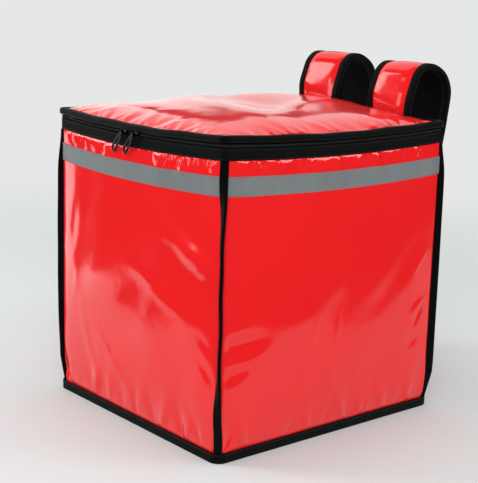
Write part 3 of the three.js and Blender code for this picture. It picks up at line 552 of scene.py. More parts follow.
# The lid is the same vinyl over thin foam, a shallow pillow with broad waves. Its edge is gathered
# into the binding, so that short folds run in from it.
LID_OUT = 0.001
TAPE_OUT = SEAM_GAP + 0.0015
LID_BINDING_THICKNESS = 0.004
LID_BINDING_WALL = 0.0015
BINDING_LAP = 0.005
BACK_LID_OUT = TAPE_OUT - LID_BINDING_THICKNESS - SEAM_GAP
LID_LAP = BINDING_LAP + SEAM_GAP
LID_INSET = 0.0025
LID_RISE = 0.019
LID_SQUARENESS = 6
LID_THICKNESS = 0.0065
LID_EDGE_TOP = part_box("lid_binding")[1].z - LID_BINDING_WALL - SEAM_GAP
GATHERS_A_METRE = 150
GATHER_LEAN = 0.9
GATHER_WIDTH = (0.0022, 0.0055)
GATHER_REACH = (0.008, 0.03)
GATHER_DEPTH = 0.0016

# Broad waves: right and back place the middle as shares of the half width and half depth, length and
# width are such shares too, turn is degrees from the right and height is a share of the lid's rise.
LID_WAVES = [
    {"right": -0.2, "back": 0.8, "length": 0.75, "width": 0.36, "turn": -6, "height": 0.36},
    {"right": -0.85, "back": 0.05, "length": 0.36, "width": 0.36, "turn": 0, "height": 0.34},
    {"right": -0.85, "back": -0.45, "length": 0.3, "width": 0.36, "turn": 90, "height": -0.25},
    {"right": -0.96, "back": -0.8, "length": 0.3, "width": 0.12, "turn": 90, "height": 0.8},
    {"right": -0.1, "back": 0.12, "length": 0.8, "width": 0.17, "turn": -14, "height": -0.25},
    {"right": 0.1, "back": -0.35, "length": 0.7, "width": 0.16, "turn": -10, "height": 0.2},
    {"right": 0.7, "back": 0.72, "length": 0.36, "width": 0.3, "turn": -40, "height": -0.35},
    {"right": 0.31, "back": 0.25, "length": 0.42, "width": 0.15, "turn": 114, "height": 0.24},
]


def lid_height(x, y):
    """The height of the lid's face, from places in metres."""
    right, back = x / (HALF_WIDTH + LID_OUT), y / (HALF_DEPTH + LID_OUT)
    waves = sum(wave["height"] * mound(right - wave["right"], back - wave["back"], wave["turn"],
                                       wave["length"], wave["width"]) for wave in LID_WAVES)
    inner_x = np.clip(np.abs(x) / (HALF_WIDTH + LID_OUT - LID_LAP), 0, 1)
    inner_y = np.clip(np.where(y > 0, y / (HALF_DEPTH + BACK_LID_OUT - LID_LAP),
                               -y / (HALF_DEPTH + LID_OUT - LID_LAP)), 0, 1)
    pillow = (1 - inner_x ** LID_SQUARENESS) * (1 - inner_y ** LID_SQUARENESS)
    share_x, share_y = np.clip((right + 1) / 2, 0, 1), np.clip((back + 1) / 2, 0, 1)
    hang = hump(share_x) * (1 - share_y) ** 3 + hump(share_y) * (share_x ** 3 + (1 - share_x) ** 3)
    return LID_EDGE_TOP + LID_RISE * pillow * (1 + waves) - RIM_SAG * hang


def lid_gathers(x, y):
    """The short folds that run in from the lid's four edges, as heights."""
    random = np.random.default_rng(31)
    half_x, front, back = (HALF_WIDTH + LID_OUT - LID_LAP, HALF_DEPTH + LID_OUT - LID_LAP,
                           HALF_DEPTH + BACK_LID_OUT - LID_LAP)
    total = np.zeros(x.shape)
    for edge, along, length in ((y + front, x, 2 * half_x), (half_x - x, y, 2 * front),
                                (x + half_x, y, 2 * front), (back - y, x, 2 * half_x)):
        count = int(GATHERS_A_METRE * length)
        inside = np.maximum(edge, 0)
        for place in (np.arange(count) + random.uniform(0.1, 0.9, count)) / count * length - length / 2:
            lean, narrow = random.uniform(-GATHER_LEAN, GATHER_LEAN), random.uniform(*GATHER_WIDTH)
            reach = random.uniform(*GATHER_REACH)
            strength = GATHER_DEPTH * random.uniform(-1, 1)
            across = (along - place - lean * inside) / (narrow + 0.3 * inside)
            fade = smooth(inside, -0.001, 0.004) * np.exp(-inside / reach)
            total = total + strength * np.exp(-across ** 2) * fade
    return total * (np.minimum(half_x - np.abs(x), np.minimum(y + front, back - y)) > -0.0005)


LID_COLUMNS, LID_ROWS = 190, 200
LID_CROWDING = math.pi / 2 * 0.8


def crowded(count):
    """Shares from -1 to 1 that lie closer together towards both ends."""
    return np.sin(np.linspace(-1, 1, count) * LID_CROWDING) / math.sin(LID_CROWDING)


x_line = crowded(LID_COLUMNS) * (HALF_WIDTH + LID_OUT - LID_INSET)
y_front, y_back = -(HALF_DEPTH + LID_OUT - LID_INSET), HALF_DEPTH + BACK_LID_OUT - LID_INSET
y_line = y_front + (crowded(LID_ROWS) + 1) / 2 * (y_back - y_front)
x_grid, y_grid = np.meshgrid(x_line, y_line)
level = lid_height(x_grid, y_grid)
lid_face = np.stack([x_grid, y_grid, level + lid_gathers(x_grid, y_grid)], -1)
lid_under = np.stack([x_grid, y_grid, level - LID_THICKNESS], -1)
lid_vinyl = coated_cloth("lid_vinyl", 0.09)
lid_vinyl.set("Coat Weight", 0.08)
lid_vinyl.set("Coat Roughness", 0.38)
lid = add_piece("lid", *slab(lid_face, lid_under), lid_vinyl, replaces=["lid_panel"], slot="red_vinyl")


# The bindings are black polypropylene tape, folded over the edges and sewn down: round the base,
# down each corner and round the lid. The corner ones stand off edge on where the walls bulge.
black_tape = Finish("woven_binding", roughness=0.62, specular_ior_level=0.07)
worn = black_tape.noise(60, 4)
ribs = black_tape.waves((1, 1, 0.2), 1150)
picks = black_tape.waves((0.3, -0.3, 1), 1150)
black_tape.set("Base Color", black_tape.blend(worn * (0.5 + ribs * 0.5), (0.0010, 0.0012, 0.0012),
                                              (0.0040, 0.0046, 0.0046)))
black_tape.set("Roughness", 0.52 + worn * 0.2)
black_tape.bump(ribs * 0.5 + picks * 0.5 + worn * 0.5, 0.00012)


def stations(sides, round_by, out, steps=40, round_steps=8):
    """Places round some or all of the sides: the side, the share along it, the middle, the way out."""
    names = list(SIDES)
    found = []
    for number, side in enumerate(sides):
        plan = SIDES[side]
        before, after = names[names.index(side) - 1], names[(names.index(side) + 1) % 4]
        low, high = round_by - plan["half"] - out[before], plan["half"] + out[after] - round_by
        for share in np.linspace(0, 1, steps):
            middle = on_side(side, low + (high - low) * share, plan["face"] + out[side], 0.0)
            found.append((side, share, middle, np.array((*plan["outward"], 0.0))))
        if number < len(sides) - 1 or len(sides) == 4:
            here, there = (np.array((*SIDES[name]["outward"], 0.0)) for name in (side, after))
            heart = (here * (plan["face"] + out[side] - round_by)
                     + there * (SIDES[after]["face"] + out[after] - round_by))
            for turn in np.linspace(0, math.pi / 2, round_steps + 1)[1:-1]:
                outward = here * math.cos(turn) + there * math.sin(turn)
                found.append((side, 1.0, heart + outward * round_by, outward))
    return found


def band(places, section, level, follow=0.0, wobble=0.0, seed=1):
    """Rings of a section, pairs of distances out and up, at the places. follow is how much of the
    vinyl's folds it takes on, and wobble how far it wanders up and down."""
    random = np.random.default_rng(seed)
    phases = random.uniform(0, math.tau, 5)
    rings = []
    for number, (side, share, middle, outward) in enumerate(places):
        out = bulge(side, share, level) + follow * (film(side, share, level) - bulge(side, share, level))
        run = number / len(places) * math.tau
        drift = wobble * sum(math.sin(run * (5 + 4 * k) + phase) for k, phase in enumerate(phases)) / 3
        lower = sag(side, share, level)
        rings.append([middle + outward * (out + a) + np.array((0, 0, b - lower + drift)) for a, b in section])
    return np.array(rings)


def rounded(outline, radius, steps=3):
    """An outline of pairs with its corners rounded off, as a list of pairs."""
    points = np.array(outline, float)
    made = []
    for index, corner in enumerate(points):
        before, after = points[index - 1] - corner, points[(index + 1) % len(points)] - corner
        cut = min(radius, 0.45 * np.linalg.norm(before), 0.45 * np.linalg.norm(after))
        first, last = (corner + way / np.linalg.norm(way) * cut for way in (before, after))
        for share in np.linspace(0, 1, steps + 1):
            made.append((1 - share) ** 2 * first + 2 * share * (1 - share) * corner + share ** 2 * last)
    return made


ALL_SIDES = list(SIDES)
ZIP_SIDES = ["left", "front", "right"]
EVEN = dict.fromkeys(SIDES, 0.0)

BASE_LIP = 0.0015
base_outer = SEAM_GAP + BINDING_OUT
base_section = rounded([(-WALL_THICKNESS, 0), (base_outer, 0), (base_outer, BASE_TOP), (SEAM_GAP, BASE_TOP),
                        (SEAM_GAP, BASE_LIP), (-WALL_THICKNESS, BASE_LIP)], 0.0013)
base_places = stations(ALL_SIDES, BASE_ROUND, EVEN, 60)
add_piece("base_tape", *sweep(band(base_places, base_section, 0.0), True), black_tape,
          replaces=["base_binding"], slot="binding")

LID_PLAN = {**dict.fromkeys(SIDES, LID_OUT), "back": BACK_LID_OUT}
LID_CORNER = 0.008
LID_BINDING_HEIGHT = 0.009
TAPE_FULLNESS = 0.0006
lid_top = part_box("lid_binding")[1].z
lid_low = lid_top - LID_BINDING_HEIGHT
lid_outer = SEAM_GAP + LID_BINDING_THICKNESS
lid_outline = [(SEAM_GAP, lid_low), (lid_outer - 0.0004, lid_low),
               (lid_outer + TAPE_FULLNESS, (lid_low + lid_top) / 2), (lid_outer - TAPE_FULLNESS, lid_top),
               (-BINDING_LAP, lid_top), (-BINDING_LAP, lid_top - LID_BINDING_WALL),
               (SEAM_GAP, lid_top - LID_BINDING_WALL)]
lid_section = rounded(lid_outline, 0.0024, 5)
lid_places = stations(ALL_SIDES, LID_CORNER, LID_PLAN, 80)
lid_rings = band(lid_places, lid_section, WALL_TOP, wobble=0.0007, seed=4)
add_piece("lid_tape", *sweep(lid_rings, True), black_tape, replaces=["lid_binding"], slot="binding")

# How each corner's tape stands at shares of its height: turn 0 lies flat across the corner and 90
# stands off edge on; size is a share of the full width.
CORNER_TURNS = {
    "front_right": {"sign": (1, -1), "up": (0, 0.14, 0.26, 0.6, 0.82, 0.93, 1),
                    "turn": (0, 25, 80, 90, 70, 15, 5), "size": (1, 1, 0.9, 0.9, 0.95, 1, 1)},
    "back_right": {"sign": (1, 1), "up": (0, 0.1, 0.5, 0.9, 1),
                   "turn": (60, 85, 90, 85, 75), "size": (0.5, 1, 1, 0.9, 0.2)},
    "back_left": {"sign": (-1, 1), "up": (0, 0.1, 0.5, 0.9, 1),
                  "turn": (60, 85, 90, 85, 75), "size": (0.5, 1, 1, 0.9, 0.2)},
    "front_left": {"sign": (-1, -1), "up": (0, 0.12, 0.36, 0.6, 0.88, 1),
                   "turn": (0, 35, 80, 90, 85, 40), "size": (0.5, 0.6, 0.9, 0.95, 0.85, 0.2)},
}
CORNER_WIDTH = 0.0105
CORNER_THICKNESS = 0.0046
CORNER_STEPS = 90
CORNER_DRIFT = 0.0004
TAPE_SEAT = 0.00005

for number, (corner, turns) in enumerate(CORNER_TURNS.items()):
    sign = np.array((*turns["sign"], 0.0))
    out, across = sign / math.sqrt(2), np.array((-sign[1], sign[0], 0)) / math.sqrt(2)
    shares = np.linspace(0, 1, CORNER_STEPS)
    kernel = np.hanning(15) / np.hanning(15).sum()
    turn, size = (np.convolve(np.pad(np.interp(shares, turns["up"], turns[key]), 7, "edge"), kernel, "valid")
                  for key in ("turn", "size"))
    random = np.random.default_rng(60 + number)
    drift = sum(CORNER_DRIFT * np.sin(shares * math.tau * rate + random.uniform(0, math.tau))
                for rate in (2.3, 5.1))
    rings = []
    for share, lean, wide, stray in zip(shares, np.radians(turn), size, drift):
        height = BASE_TOP + SEAM_GAP + (TAPE_BOTTOM - BASE_TOP - 2 * SEAM_GAP) * share
        setback = corner_setback(height)
        long, short = CORNER_WIDTH / 2 * wide, CORNER_THICKNESS / 2
        seat = TAPE_SEAT - setback * math.sqrt(0.5)
        middle = seat + long * math.sin(lean) + short * math.cos(lean)
        heart = np.array((sign[0] * HALF_WIDTH, sign[1] * HALF_DEPTH, height)) + across * stray
        outline = rounded([(1, -1), (1, 1), (-1, 1), (-1, -1)], 0.55, 4)[:10] + [(-1, 1), (-1, -1)]
        rings.append([heart + out * (middle + u * long * math.sin(lean) + v * short * math.cos(lean))
                      + across * (u * long * math.cos(lean) - v * short * math.sin(lean))
                      for u, v in outline])
    add_piece("corner_tape_" + corner, *sweep(np.array(rings)), black_tape,
              replaces=["corner_binding_" + corner], slot="binding")


# The reflective strips are silver tape with a fine bead grain, sewn to three walls along both
# edges. They lie on the vinyl, so they follow its waves.
silver = Finish("silver_tape", roughness=0.55, specular_ior_level=0.4, metallic=0.15)
ripple = silver.noise(40, 3, (1, 1, 0.15))
beads = silver.noise(1600, 1)
silver.set("Base Color", silver.blend(ripple, (0.128, 0.145, 0.150), (0.176, 0.189, 0.194)))
silver.set("Roughness", 0.5 + beads * 0.2)
silver.bump(ripple * 0.7 + beads * 0.15, 0.0003)

STRIP_THICKNESS = 0.0005


def sewn_strip(side, low, high, thickness, lift, steps=150, rows=6):
    """Grids for a strip that lies on a wall's vinyl between two heights."""
    share = np.linspace(0, 1, steps)[None, :]
    height = np.linspace(low, high, rows)[:, None]
    plan = SIDES[side]
    ground = film(side, share, height)
    up = height - sag(side, share, height)
    grids = []
    for extra in (lift + thickness, lift):
        reach = plan["half"] - CORNER_SETBACK / 2 - 2 * extra
        grids.append(on_side(side, (2 * share - 1) * reach, plan["face"] + ground + extra, up))
    return grids


for side in ZIP_SIDES:
    add_piece("strip_" + side, *slab(*sewn_strip(side, STRIP_BOTTOM, STRIP_TOP, STRIP_THICKNESS, SEAM_GAP)),
              silver, replaces=["reflective_strip_" + side], slot="reflective_tape")


# The zip runs round three sides: a woven lower tape sewn over the vinyl, a nylon coil, and an
# upper tape under the lid. A plain cloth strip hinges the lid at the back.
zip_cloth = Finish("zip_cloth", roughness=0.75, specular_ior_level=0.07)
herring = zip_cloth.waves((1, 1, 1.4), 800) * zip_cloth.waves((1, 1, -1.4), 800)
zip_cloth.set("Base Color", zip_cloth.blend(herring * 0.6 + zip_cloth.noise(50) * 0.4,
                                            (0.0016, 0.0019, 0.0019), (0.0052, 0.0060, 0.0060)))
zip_cloth.bump(herring * 0.6 + zip_cloth.noise(70) * 0.6, 0.0002)

tape_places = stations(ZIP_SIDES, CORNER_SETBACK, EVEN, 70)
tape_section = rounded([(SEAM_GAP, TAPE_BOTTOM), (TAPE_OUT, TAPE_BOTTOM), (TAPE_OUT, TAPE_TOP),
                        (SEAM_GAP, TAPE_TOP)], 0.0004, 2)
add_piece("lower_tape", *sweep(band(tape_places, tape_section, WALL_TOP, wobble=0.0001)), zip_cloth,
          replaces=["zip_lower_tape"], slot="zip_tape")

upper_places = stations(ZIP_SIDES, LID_CORNER, {**EVEN, "back": BACK_LID_OUT}, 70)
UPPER_TAPE_THICKNESS = 0.0014
upper_top = LID_EDGE_TOP - LID_THICKNESS - SEAM_GAP
upper_low = upper_top - UPPER_TAPE_THICKNESS
upper_section = rounded([(-BINDING_LAP, upper_low), (LID_OUT, upper_low), (LID_OUT, upper_top),
                         (-BINDING_LAP, upper_top)], 0.0004, 2)
add_piece("upper_tape", *sweep(band(upper_places, upper_section, WALL_TOP)), zip_cloth,
          replaces=["zip_upper_tape"], slot="zip_tape")

hinge_section = rounded([(SEAM_GAP, TAPE_BOTTOM), (TAPE_OUT, TAPE_BOTTOM), (TAPE_OUT, lid_low - SEAM_GAP),
                         (SEAM_GAP, lid_low - SEAM_GAP)], 0.0004, 2)
hinge_places = stations(["back"], CORNER_SETBACK + TAPE_OUT, EVEN, 60)
add_piece("hinge_cloth", *sweep(band(hinge_places, hinge_section, WALL_TOP)), zip_cloth,
          replaces=["lid_hinge"], slot="binding")

nylon = Finish("nylon_coil", roughness=0.38, specular_ior_level=0.5)
nylon.set("Base Color", nylon.blend(nylon.noise(90), (0.010, 0.012, 0.012), (0.022, 0.025, 0.025)))
nylon.bump(nylon.noise(600), 0.00005)

COIL_SIZE = 0.0044
COIL_PITCH = 0.0021
COIL_WIRE = 0.0005
COIL_STEPS = 8
CORE_SPACING = 0.006
coil_middle = upper_low - SEAM_GAP - COIL_SIZE / 2


def along_places(places, level, up):
    """The line that a band's places follow, with the way out at each point."""
    line = band(places, [(0, up)], level)[:, 0]
    return line, np.array([outward for *_, outward in places])


def resample(line, ways, spacing):
    """Points at an even spacing along a line, with the directions there."""
    run = np.concatenate([[0], np.cumsum(np.linalg.norm(np.diff(line, axis=0), axis=1))])
    wanted = np.arange(spacing / 2, run[-1], spacing)
    place = np.stack([np.interp(wanted, run, line[:, k]) for k in range(3)], -1)
    way = np.stack([np.interp(wanted, run, ways[:, k]) for k in range(3)], -1)
    return place, way / np.linalg.norm(way, axis=1)[:, None]


def unit(vectors):
    return vectors / np.maximum(np.linalg.norm(vectors, axis=-1, keepdims=True), 1e-12)


def tube(line, radius, sides=6):
    """Rings of a round tube along a line; radius is one number or one for each point."""
    tangent = unit(np.gradient(line, axis=0))
    helper = np.where(np.abs(tangent[:, 2:]) < 0.9, np.array([[0, 0, 1.0]]), np.array([[1.0, 0, 0]]))
    first = unit(np.cross(tangent, helper))
    second = np.cross(tangent, first)
    angle = np.linspace(0, math.tau, sides, endpoint=False)
    radius = np.broadcast_to(radius, len(line))[:, None, None]
    return line[:, None] + radius * (first[:, None] * np.cos(angle)[None, :, None]
                                     + second[:, None] * np.sin(angle)[None, :, None])


def joined(*parts):
    """One mesh of several closed parts."""
    points, faces, count = [], [], 0
    for part_points, part_faces in parts:
        faces += [[corner + count for corner in face] for face in part_faces]
        points.append(part_points)
        count += len(part_points)
    return np.concatenate(points), faces


coil_line, coil_ways = along_places(tape_places, WALL_TOP, coil_middle)
place, way = resample(coil_line, coil_ways, COIL_PITCH / COIL_STEPS)
angle = np.arange(len(place)) / COIL_STEPS * math.tau
helix = (place + way * ((COIL_SIZE / 2 - COIL_WIRE) * np.cos(angle))[:, None]
         + np.array((0, 0, 1.0)) * ((COIL_SIZE / 2 - COIL_WIRE) * np.sin(angle))[:, None])
core, _ = resample(coil_line, coil_ways, CORE_SPACING)
coil = joined(sweep(tube(helix, COIL_WIRE, 5)), sweep(tube(core, COIL_SIZE / 2 - 2 * COIL_WIRE, 8)))
add_piece("coil", *coil, nylon, replaces=["zip_coil"], slot="zip_coil")


# Each of the two straps is a foam pad with a red vinyl face and a black mesh lining, its edges
# bound in tape. It loops up over the lid's back edge and down to a ladder-lock and webbing.
STRAP_WIDTH = 0.0835
STRAP_THICKNESS = 0.008
STRAP_BINDING = 0.0105
STRAP_BINDING_WALL = 0.001
STRAP_REACH = 0.093
STRAP_LEAN = 0.006
STRAP_END_WIDTH = 0.050
STRAP_FOOT = HALF_DEPTH + TAPE_OUT + SEAM_GAP
STRAP_TAPER_START = 0.72
STRAPS = {"left": {"side": -0.076, "rise": 0.080}, "right": {"side": 0.076, "rise": 0.074}}
STRAP_ANCHOR_DROP = 0.85

# The strap's outer face: how far back, as a share of its reach, and up, as a share of its rise
STRAP_ROUTE = [(0.035, 0.35), (0.11, 0.62), (0.19, 0.83), (0.34, 0.975), (0.5, 1), (0.68, 0.93),
               (0.86, 0.77), (0.975, 0.5), (0.995, 0.2), (0.97, -0.1), (0.88, -0.7), (0.72, -1.4),
               (0.53, -2.1), (0.4, -2.55)]


def smooth_route(points, each=30):
    """A smooth curve through points in the plane, with the knots spaced by the root of the distance."""
    points = np.array(points, float)
    ends = np.concatenate([[2 * points[0] - points[1]], points, [2 * points[-1] - points[-2]]])
    made = []
    for index in range(len(points) - 1):
        p0, p1, p2, p3 = ends[index:index + 4]
        d0, d1, d2 = (math.sqrt(np.linalg.norm(b - a)) for a, b in ((p0, p1), (p1, p2), (p2, p3)))
        first = ((p1 - p0) / d0 - (p2 - p0) / (d0 + d1) + (p2 - p1) / d1) * d1
        last = ((p2 - p1) / d1 - (p3 - p1) / (d1 + d2) + (p3 - p2) / d2) * d1
        t = np.linspace(0, 1, each, endpoint=index == len(points) - 2)[:, None]
        made.append(p1 + first * t + (3 * (p2 - p1) - 2 * first - last) * t ** 2
                    + (2 * (p1 - p2) + first + last) * t ** 3)
    return np.concatenate(made)


def even_route(line, shares):
    """Points and directions at shares of a plane line's length."""
    run = np.concatenate([[0], np.cumsum(np.linalg.norm(np.diff(line, axis=0), axis=1))])
    place = np.stack([np.interp(shares * run[-1], run, line[:, k]) for k in range(2)], -1)
    step = 0.002
    ahead, behind = (np.stack([np.interp(np.clip(shares * run[-1] + sign * step, 0, run[-1]), run, line[:, k])
                               for k in range(2)], -1) for sign in (1, -1))
    return place, unit(ahead - behind)


def strap_frame(strap, steps=150):
    """Places down a strap: the middle, the way into the loop, the half width and the lean."""
    top = LID_EDGE_TOP + 0.0018
    line = smooth_route([(STRAP_FOOT, top - STRAP_ANCHOR_DROP * strap["rise"]), (STRAP_FOOT, top)]
                        + [(max(STRAP_FOOT, HALF_DEPTH + back * STRAP_REACH), top + up * strap["rise"])
                           for back, up in STRAP_ROUTE])
    shares = np.linspace(0, 1, steps)
    place, tangent = even_route(line, shares)
    middle = np.stack([np.full(steps, strap["side"]), place[:, 0], place[:, 1]], -1)
    along = np.stack([np.zeros(steps), tangent[:, 0], tangent[:, 1]], -1)
    inward = np.stack([np.zeros(steps), tangent[:, 1], -tangent[:, 0]], -1)
    half = (STRAP_WIDTH + (STRAP_END_WIDTH - STRAP_WIDTH) * smooth(shares, STRAP_TAPER_START, 1)) / 2
    lean = smooth(place[:, 1], top, top + strap["rise"] / 2) * STRAP_LEAN
    return {"middle": middle, "along": along, "inward": inward, "half": half, "lean": lean, "shares": shares}


def strap_rings(places, section):
    """Rings of a section, which is a function of the half width that gives pairs across and in."""
    rings = []
    for index, half in enumerate(places["half"]):
        ring = []
        for across, depth in section(half, places["shares"][index]):
            point = places["middle"][index] + places["inward"][index] * depth
            ring.append(point + np.array((across, places["lean"][index] * across / STRAP_WIDTH, 0)))
        rings.append(ring)
    return np.array(rings)


mesh_cloth = Finish("spacer_mesh", roughness=0.8, specular_ior_level=0.05)
holes = mesh_cloth.node("ShaderNodeTexVoronoi", {"feature": "F1"},
                        {"Vector": mesh_cloth.place, "Scale": 420.0}, "Distance")
mesh_cloth.set("Base Color", mesh_cloth.blend(holes, (0.0012, 0.0010, 0.0011), (0.0045, 0.0036, 0.0038)))
mesh_cloth.bump(holes, 0.0006)

webbing = Finish("webbing", roughness=0.6, specular_ior_level=0.2, sheen_weight=0.03)
chevrons = webbing.waves((1, 0, 0.7), 700) * webbing.waves((1, 0, -0.7), 700)
webbing.set("Base Color", webbing.blend(chevrons, (0.002, 0.0024, 0.0024), (0.008, 0.009, 0.0092)))
webbing.bump(chevrons, 0.0003)

acetal = Finish("acetal", roughness=0.38, specular_ior_level=0.5)
acetal.set("Base Color", acetal.blend(acetal.noise(80), (0.012, 0.013, 0.014), (0.02, 0.021, 0.023)))
acetal.bump(acetal.noise(700), 0.00004)

strap_places = {}
for hand, strap in STRAPS.items():
    places = strap_places[hand] = strap_frame(strap)
    random = np.random.default_rng(80 + len(strap_places))
    phases = random.uniform(0, math.tau, 6)

    def pad_section(half, share):
        edge, lip = half - STRAP_BINDING_WALL, half - STRAP_BINDING - SEAM_GAP
        face_depth = STRAP_BINDING_WALL + SEAM_GAP
        back = STRAP_THICKNESS - 2 * STRAP_BINDING_WALL - 2 * SEAM_GAP
        across = np.linspace(-lip, lip, 21)
        swell = 1 - (np.abs(across) / lip) ** 4
        wave = sum(np.sin(share * math.tau * (6 + 5 * k) + phases[k] + across * 40 * (k - 1))
                   for k in range(3)) * 0.00025
        face = list(zip(across, face_depth * (1 - swell) + (wave - 0.0005) * swell))
        return [(-edge, face_depth), *face, (edge, face_depth), (edge, back), (-edge, back)]

    pad = add_piece("strap_face_" + hand, *sweep(strap_rings(places, pad_section)), vinyl,
                    replaces=["strap_pad_" + hand], slot="red_vinyl", sharp=60)

    def lining_section(half, share):
        edge, back = half - STRAP_BINDING_WALL, STRAP_THICKNESS - STRAP_BINDING_WALL - SEAM_GAP
        return [(x, back - 0.001) for x in np.linspace(-edge, edge, 9)] + [
            (x, back + 0.0004 * (1 - (x / edge) ** 2)) for x in np.linspace(edge, -edge, 9)]

    add_piece("strap_mesh_" + hand, *sweep(strap_rings(places, lining_section)), mesh_cloth,
              replaces=["strap_lining_" + hand], slot="mesh")

    for edge, sign in (("left", -1), ("right", 1)):
        def edge_section(half, share):
            inner, web = half - STRAP_BINDING, half - STRAP_BINDING_WALL + SEAM_GAP
            back = STRAP_THICKNESS - STRAP_BINDING_WALL
            outline = [(inner, 0), (half, 0), (half, STRAP_THICKNESS), (inner, STRAP_THICKNESS),
                       (inner, back), (web, back), (web, STRAP_BINDING_WALL), (inner, STRAP_BINDING_WALL)]
            return [(sign * x, depth) for x, depth in rounded(outline, 0.002, 3)]

        add_piece(f"strap_tape_{edge}_{hand}", *sweep(strap_rings(places, edge_section)), black_tape,
                  replaces=[f"strap_edge_{edge}_{hand}"], slot="binding")


STRAP_END_HEIGHT = 0.008
ADJUSTER_WIDTH = 0.036
ADJUSTER_HEIGHT = 0.024
ADJUSTER_BAR = 0.004
WEBBING_WIDTH = 0.025
WEBBING_THICKNESS = 0.0016
WEBBING_HEM_TOP = 0.050
WEBBING_LOWEST = 0.024
WEBBING_STAND = 0.0025
ADJUSTER_START = 2 * SEAM_GAP + STRAP_END_HEIGHT
END_SECTION = rounded([(-1, 0), (1, 0), (1, 1), (-1, 1)], 0.2, 3)
SQUARE = [(-1, -1), (1, -1), (1, 1), (-1, 1)]

# The ladder-lock's three rungs and two uprights: across, down, wide and tall
RUNG_LENGTH = ADJUSTER_WIDTH - 2 * ADJUSTER_BAR
LOCK_BARS = [(0, down, RUNG_LENGTH, ADJUSTER_BAR)
             for down in (ADJUSTER_BAR / 2, ADJUSTER_HEIGHT / 2, ADJUSTER_HEIGHT - ADJUSTER_BAR / 2)]
LOCK_BARS += [(across, ADJUSTER_HEIGHT / 2, ADJUSTER_BAR, ADJUSTER_HEIGHT)
              for across in (-(ADJUSTER_WIDTH - ADJUSTER_BAR) / 2, (ADJUSTER_WIDTH - ADJUSTER_BAR) / 2)]

for hand, strap in STRAPS.items():
    foot = {key: strap_places[hand][key][-1] for key in ("middle", "along", "inward", "lean")}

    def below_pad(distance, across, depth):
        return (foot["middle"] + foot["along"] * distance + foot["inward"] * depth
                + np.array((across, foot["lean"] * across / STRAP_WIDTH, 0)))

    rings = [[below_pad(SEAM_GAP + STRAP_END_HEIGHT * down, x * STRAP_END_WIDTH / 2 * wide,
                        STRAP_THICKNESS * (0.5 + (y - 0.5) * wide)) for x, y in END_SECTION]
             for down, wide in ((0, 0.93), (0.12, 1), (0.88, 1), (1, 0.93))]
    add_piece("strap_hem_" + hand, *sweep(np.array(rings)), webbing, replaces=["strap_end_" + hand],
              slot="webbing")

    outline = rounded(SQUARE, 0.3, 3)
    bars = []
    for across, down, wide, tall in LOCK_BARS:
        upright = tall == ADJUSTER_HEIGHT
        slim = 1 if upright else 0.98
        rings = [[below_pad(ADJUSTER_START + down + v * tall / 2 * (1 - inset / tall),
                            across + u * (wide / 2 - (inset if upright else 0)),
                            STRAP_THICKNESS / 2 + depth * slim) for u, v in outline]
                 for inset, depth in ((0.0007, -0.002), (0.0, -0.0014), (0.0, 0.0014), (0.0007, 0.002))]
        bars.append(sweep(np.array(rings)))
    add_piece("strap_lock_" + hand, *joined(*bars), acetal, replaces=["strap_adjuster_" + hand],
              slot="buckle_plastic")

    start = below_pad(ADJUSTER_START + ADJUSTER_HEIGHT + SEAM_GAP, 0, STRAP_THICKNESS / 2)
    onward = start + foot["along"] * WEBBING_WIDTH / 2
    wall_face = HALF_DEPTH + SEAM_GAP + WEBBING_THICKNESS / 2 + WEBBING_STAND
    line = smooth_route([start[1:], onward[1:], (wall_face + (onward[1] - wall_face) * 0.12,
                                                 WEBBING_HEM_TOP + (onward[2] - WEBBING_HEM_TOP) * 0.16),
                         (wall_face, WEBBING_HEM_TOP), (wall_face, WEBBING_LOWEST)])
    place, tangent = even_route(line, np.linspace(0, 1, 60))
    outline = rounded(SQUARE, 0.5, 3)
    rings = [[(strap["side"] + u * WEBBING_WIDTH / 2, y + way[1] * v * WEBBING_THICKNESS / 2,
               z - way[0] * v * WEBBING_THICKNESS / 2) for u, v in outline]
             for (y, z), way in zip(place, tangent)]
    add_piece("strap_web_" + hand, *sweep(np.array(rings)), webbing, replaces=["strap_webbing_" + hand],
              slot="webbing")


# The base is black coated cloth drawn over a stiff board. It closes the bag underneath, inside the
# base binding, and its edges are turned round the board.
base_cloth = Finish("base_cloth", roughness=0.6, specular_ior_level=0.3)
base_cloth.set("Base Color", base_cloth.blend(base_cloth.noise(30), (0.004, 0.0045, 0.005),
                                              (0.011, 0.012, 0.013)))
base_cloth.bump(base_cloth.waves((1, 0, 0), 600) * base_cloth.waves((0, 1, 0), 600), 0.0002)

BOARD_ROUND = 0.0044
BOARD_EDGE = 0.0008
low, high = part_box("base_panel")
board = rounded([(low.x, low.y), (high.x, low.y), (high.x, high.y), (low.x, high.y)], BOARD_ROUND, 5)
rings = [[(x * wide, y * wide, level) for x, y in board]
         for wide, level in ((0.05, low.z + BOARD_EDGE), (0.6, low.z + BOARD_EDGE / 2), (0.97, low.z),
                             (1, low.z + BOARD_EDGE), (1, high.z - BOARD_EDGE), (0.985, high.z))]
add_piece("base_board", *sweep(np.array(rings)), base_cloth, replaces=["base_panel"], slot="base_cloth")


# Two die-cast sliders sit side by side at the middle of the front, lacquered dark. Each carries an open
# puller that hangs from its bridge and swings on it.
gunmetal = Finish("gunmetal", roughness=0.25, metallic=1.0)
worn_metal = gunmetal.noise(260)
gunmetal.set("Base Color", gunmetal.blend(worn_metal, (0.008, 0.0085, 0.009), (0.032, 0.033, 0.034)))
gunmetal.set("Roughness", 0.2 + worn_metal * 0.2)

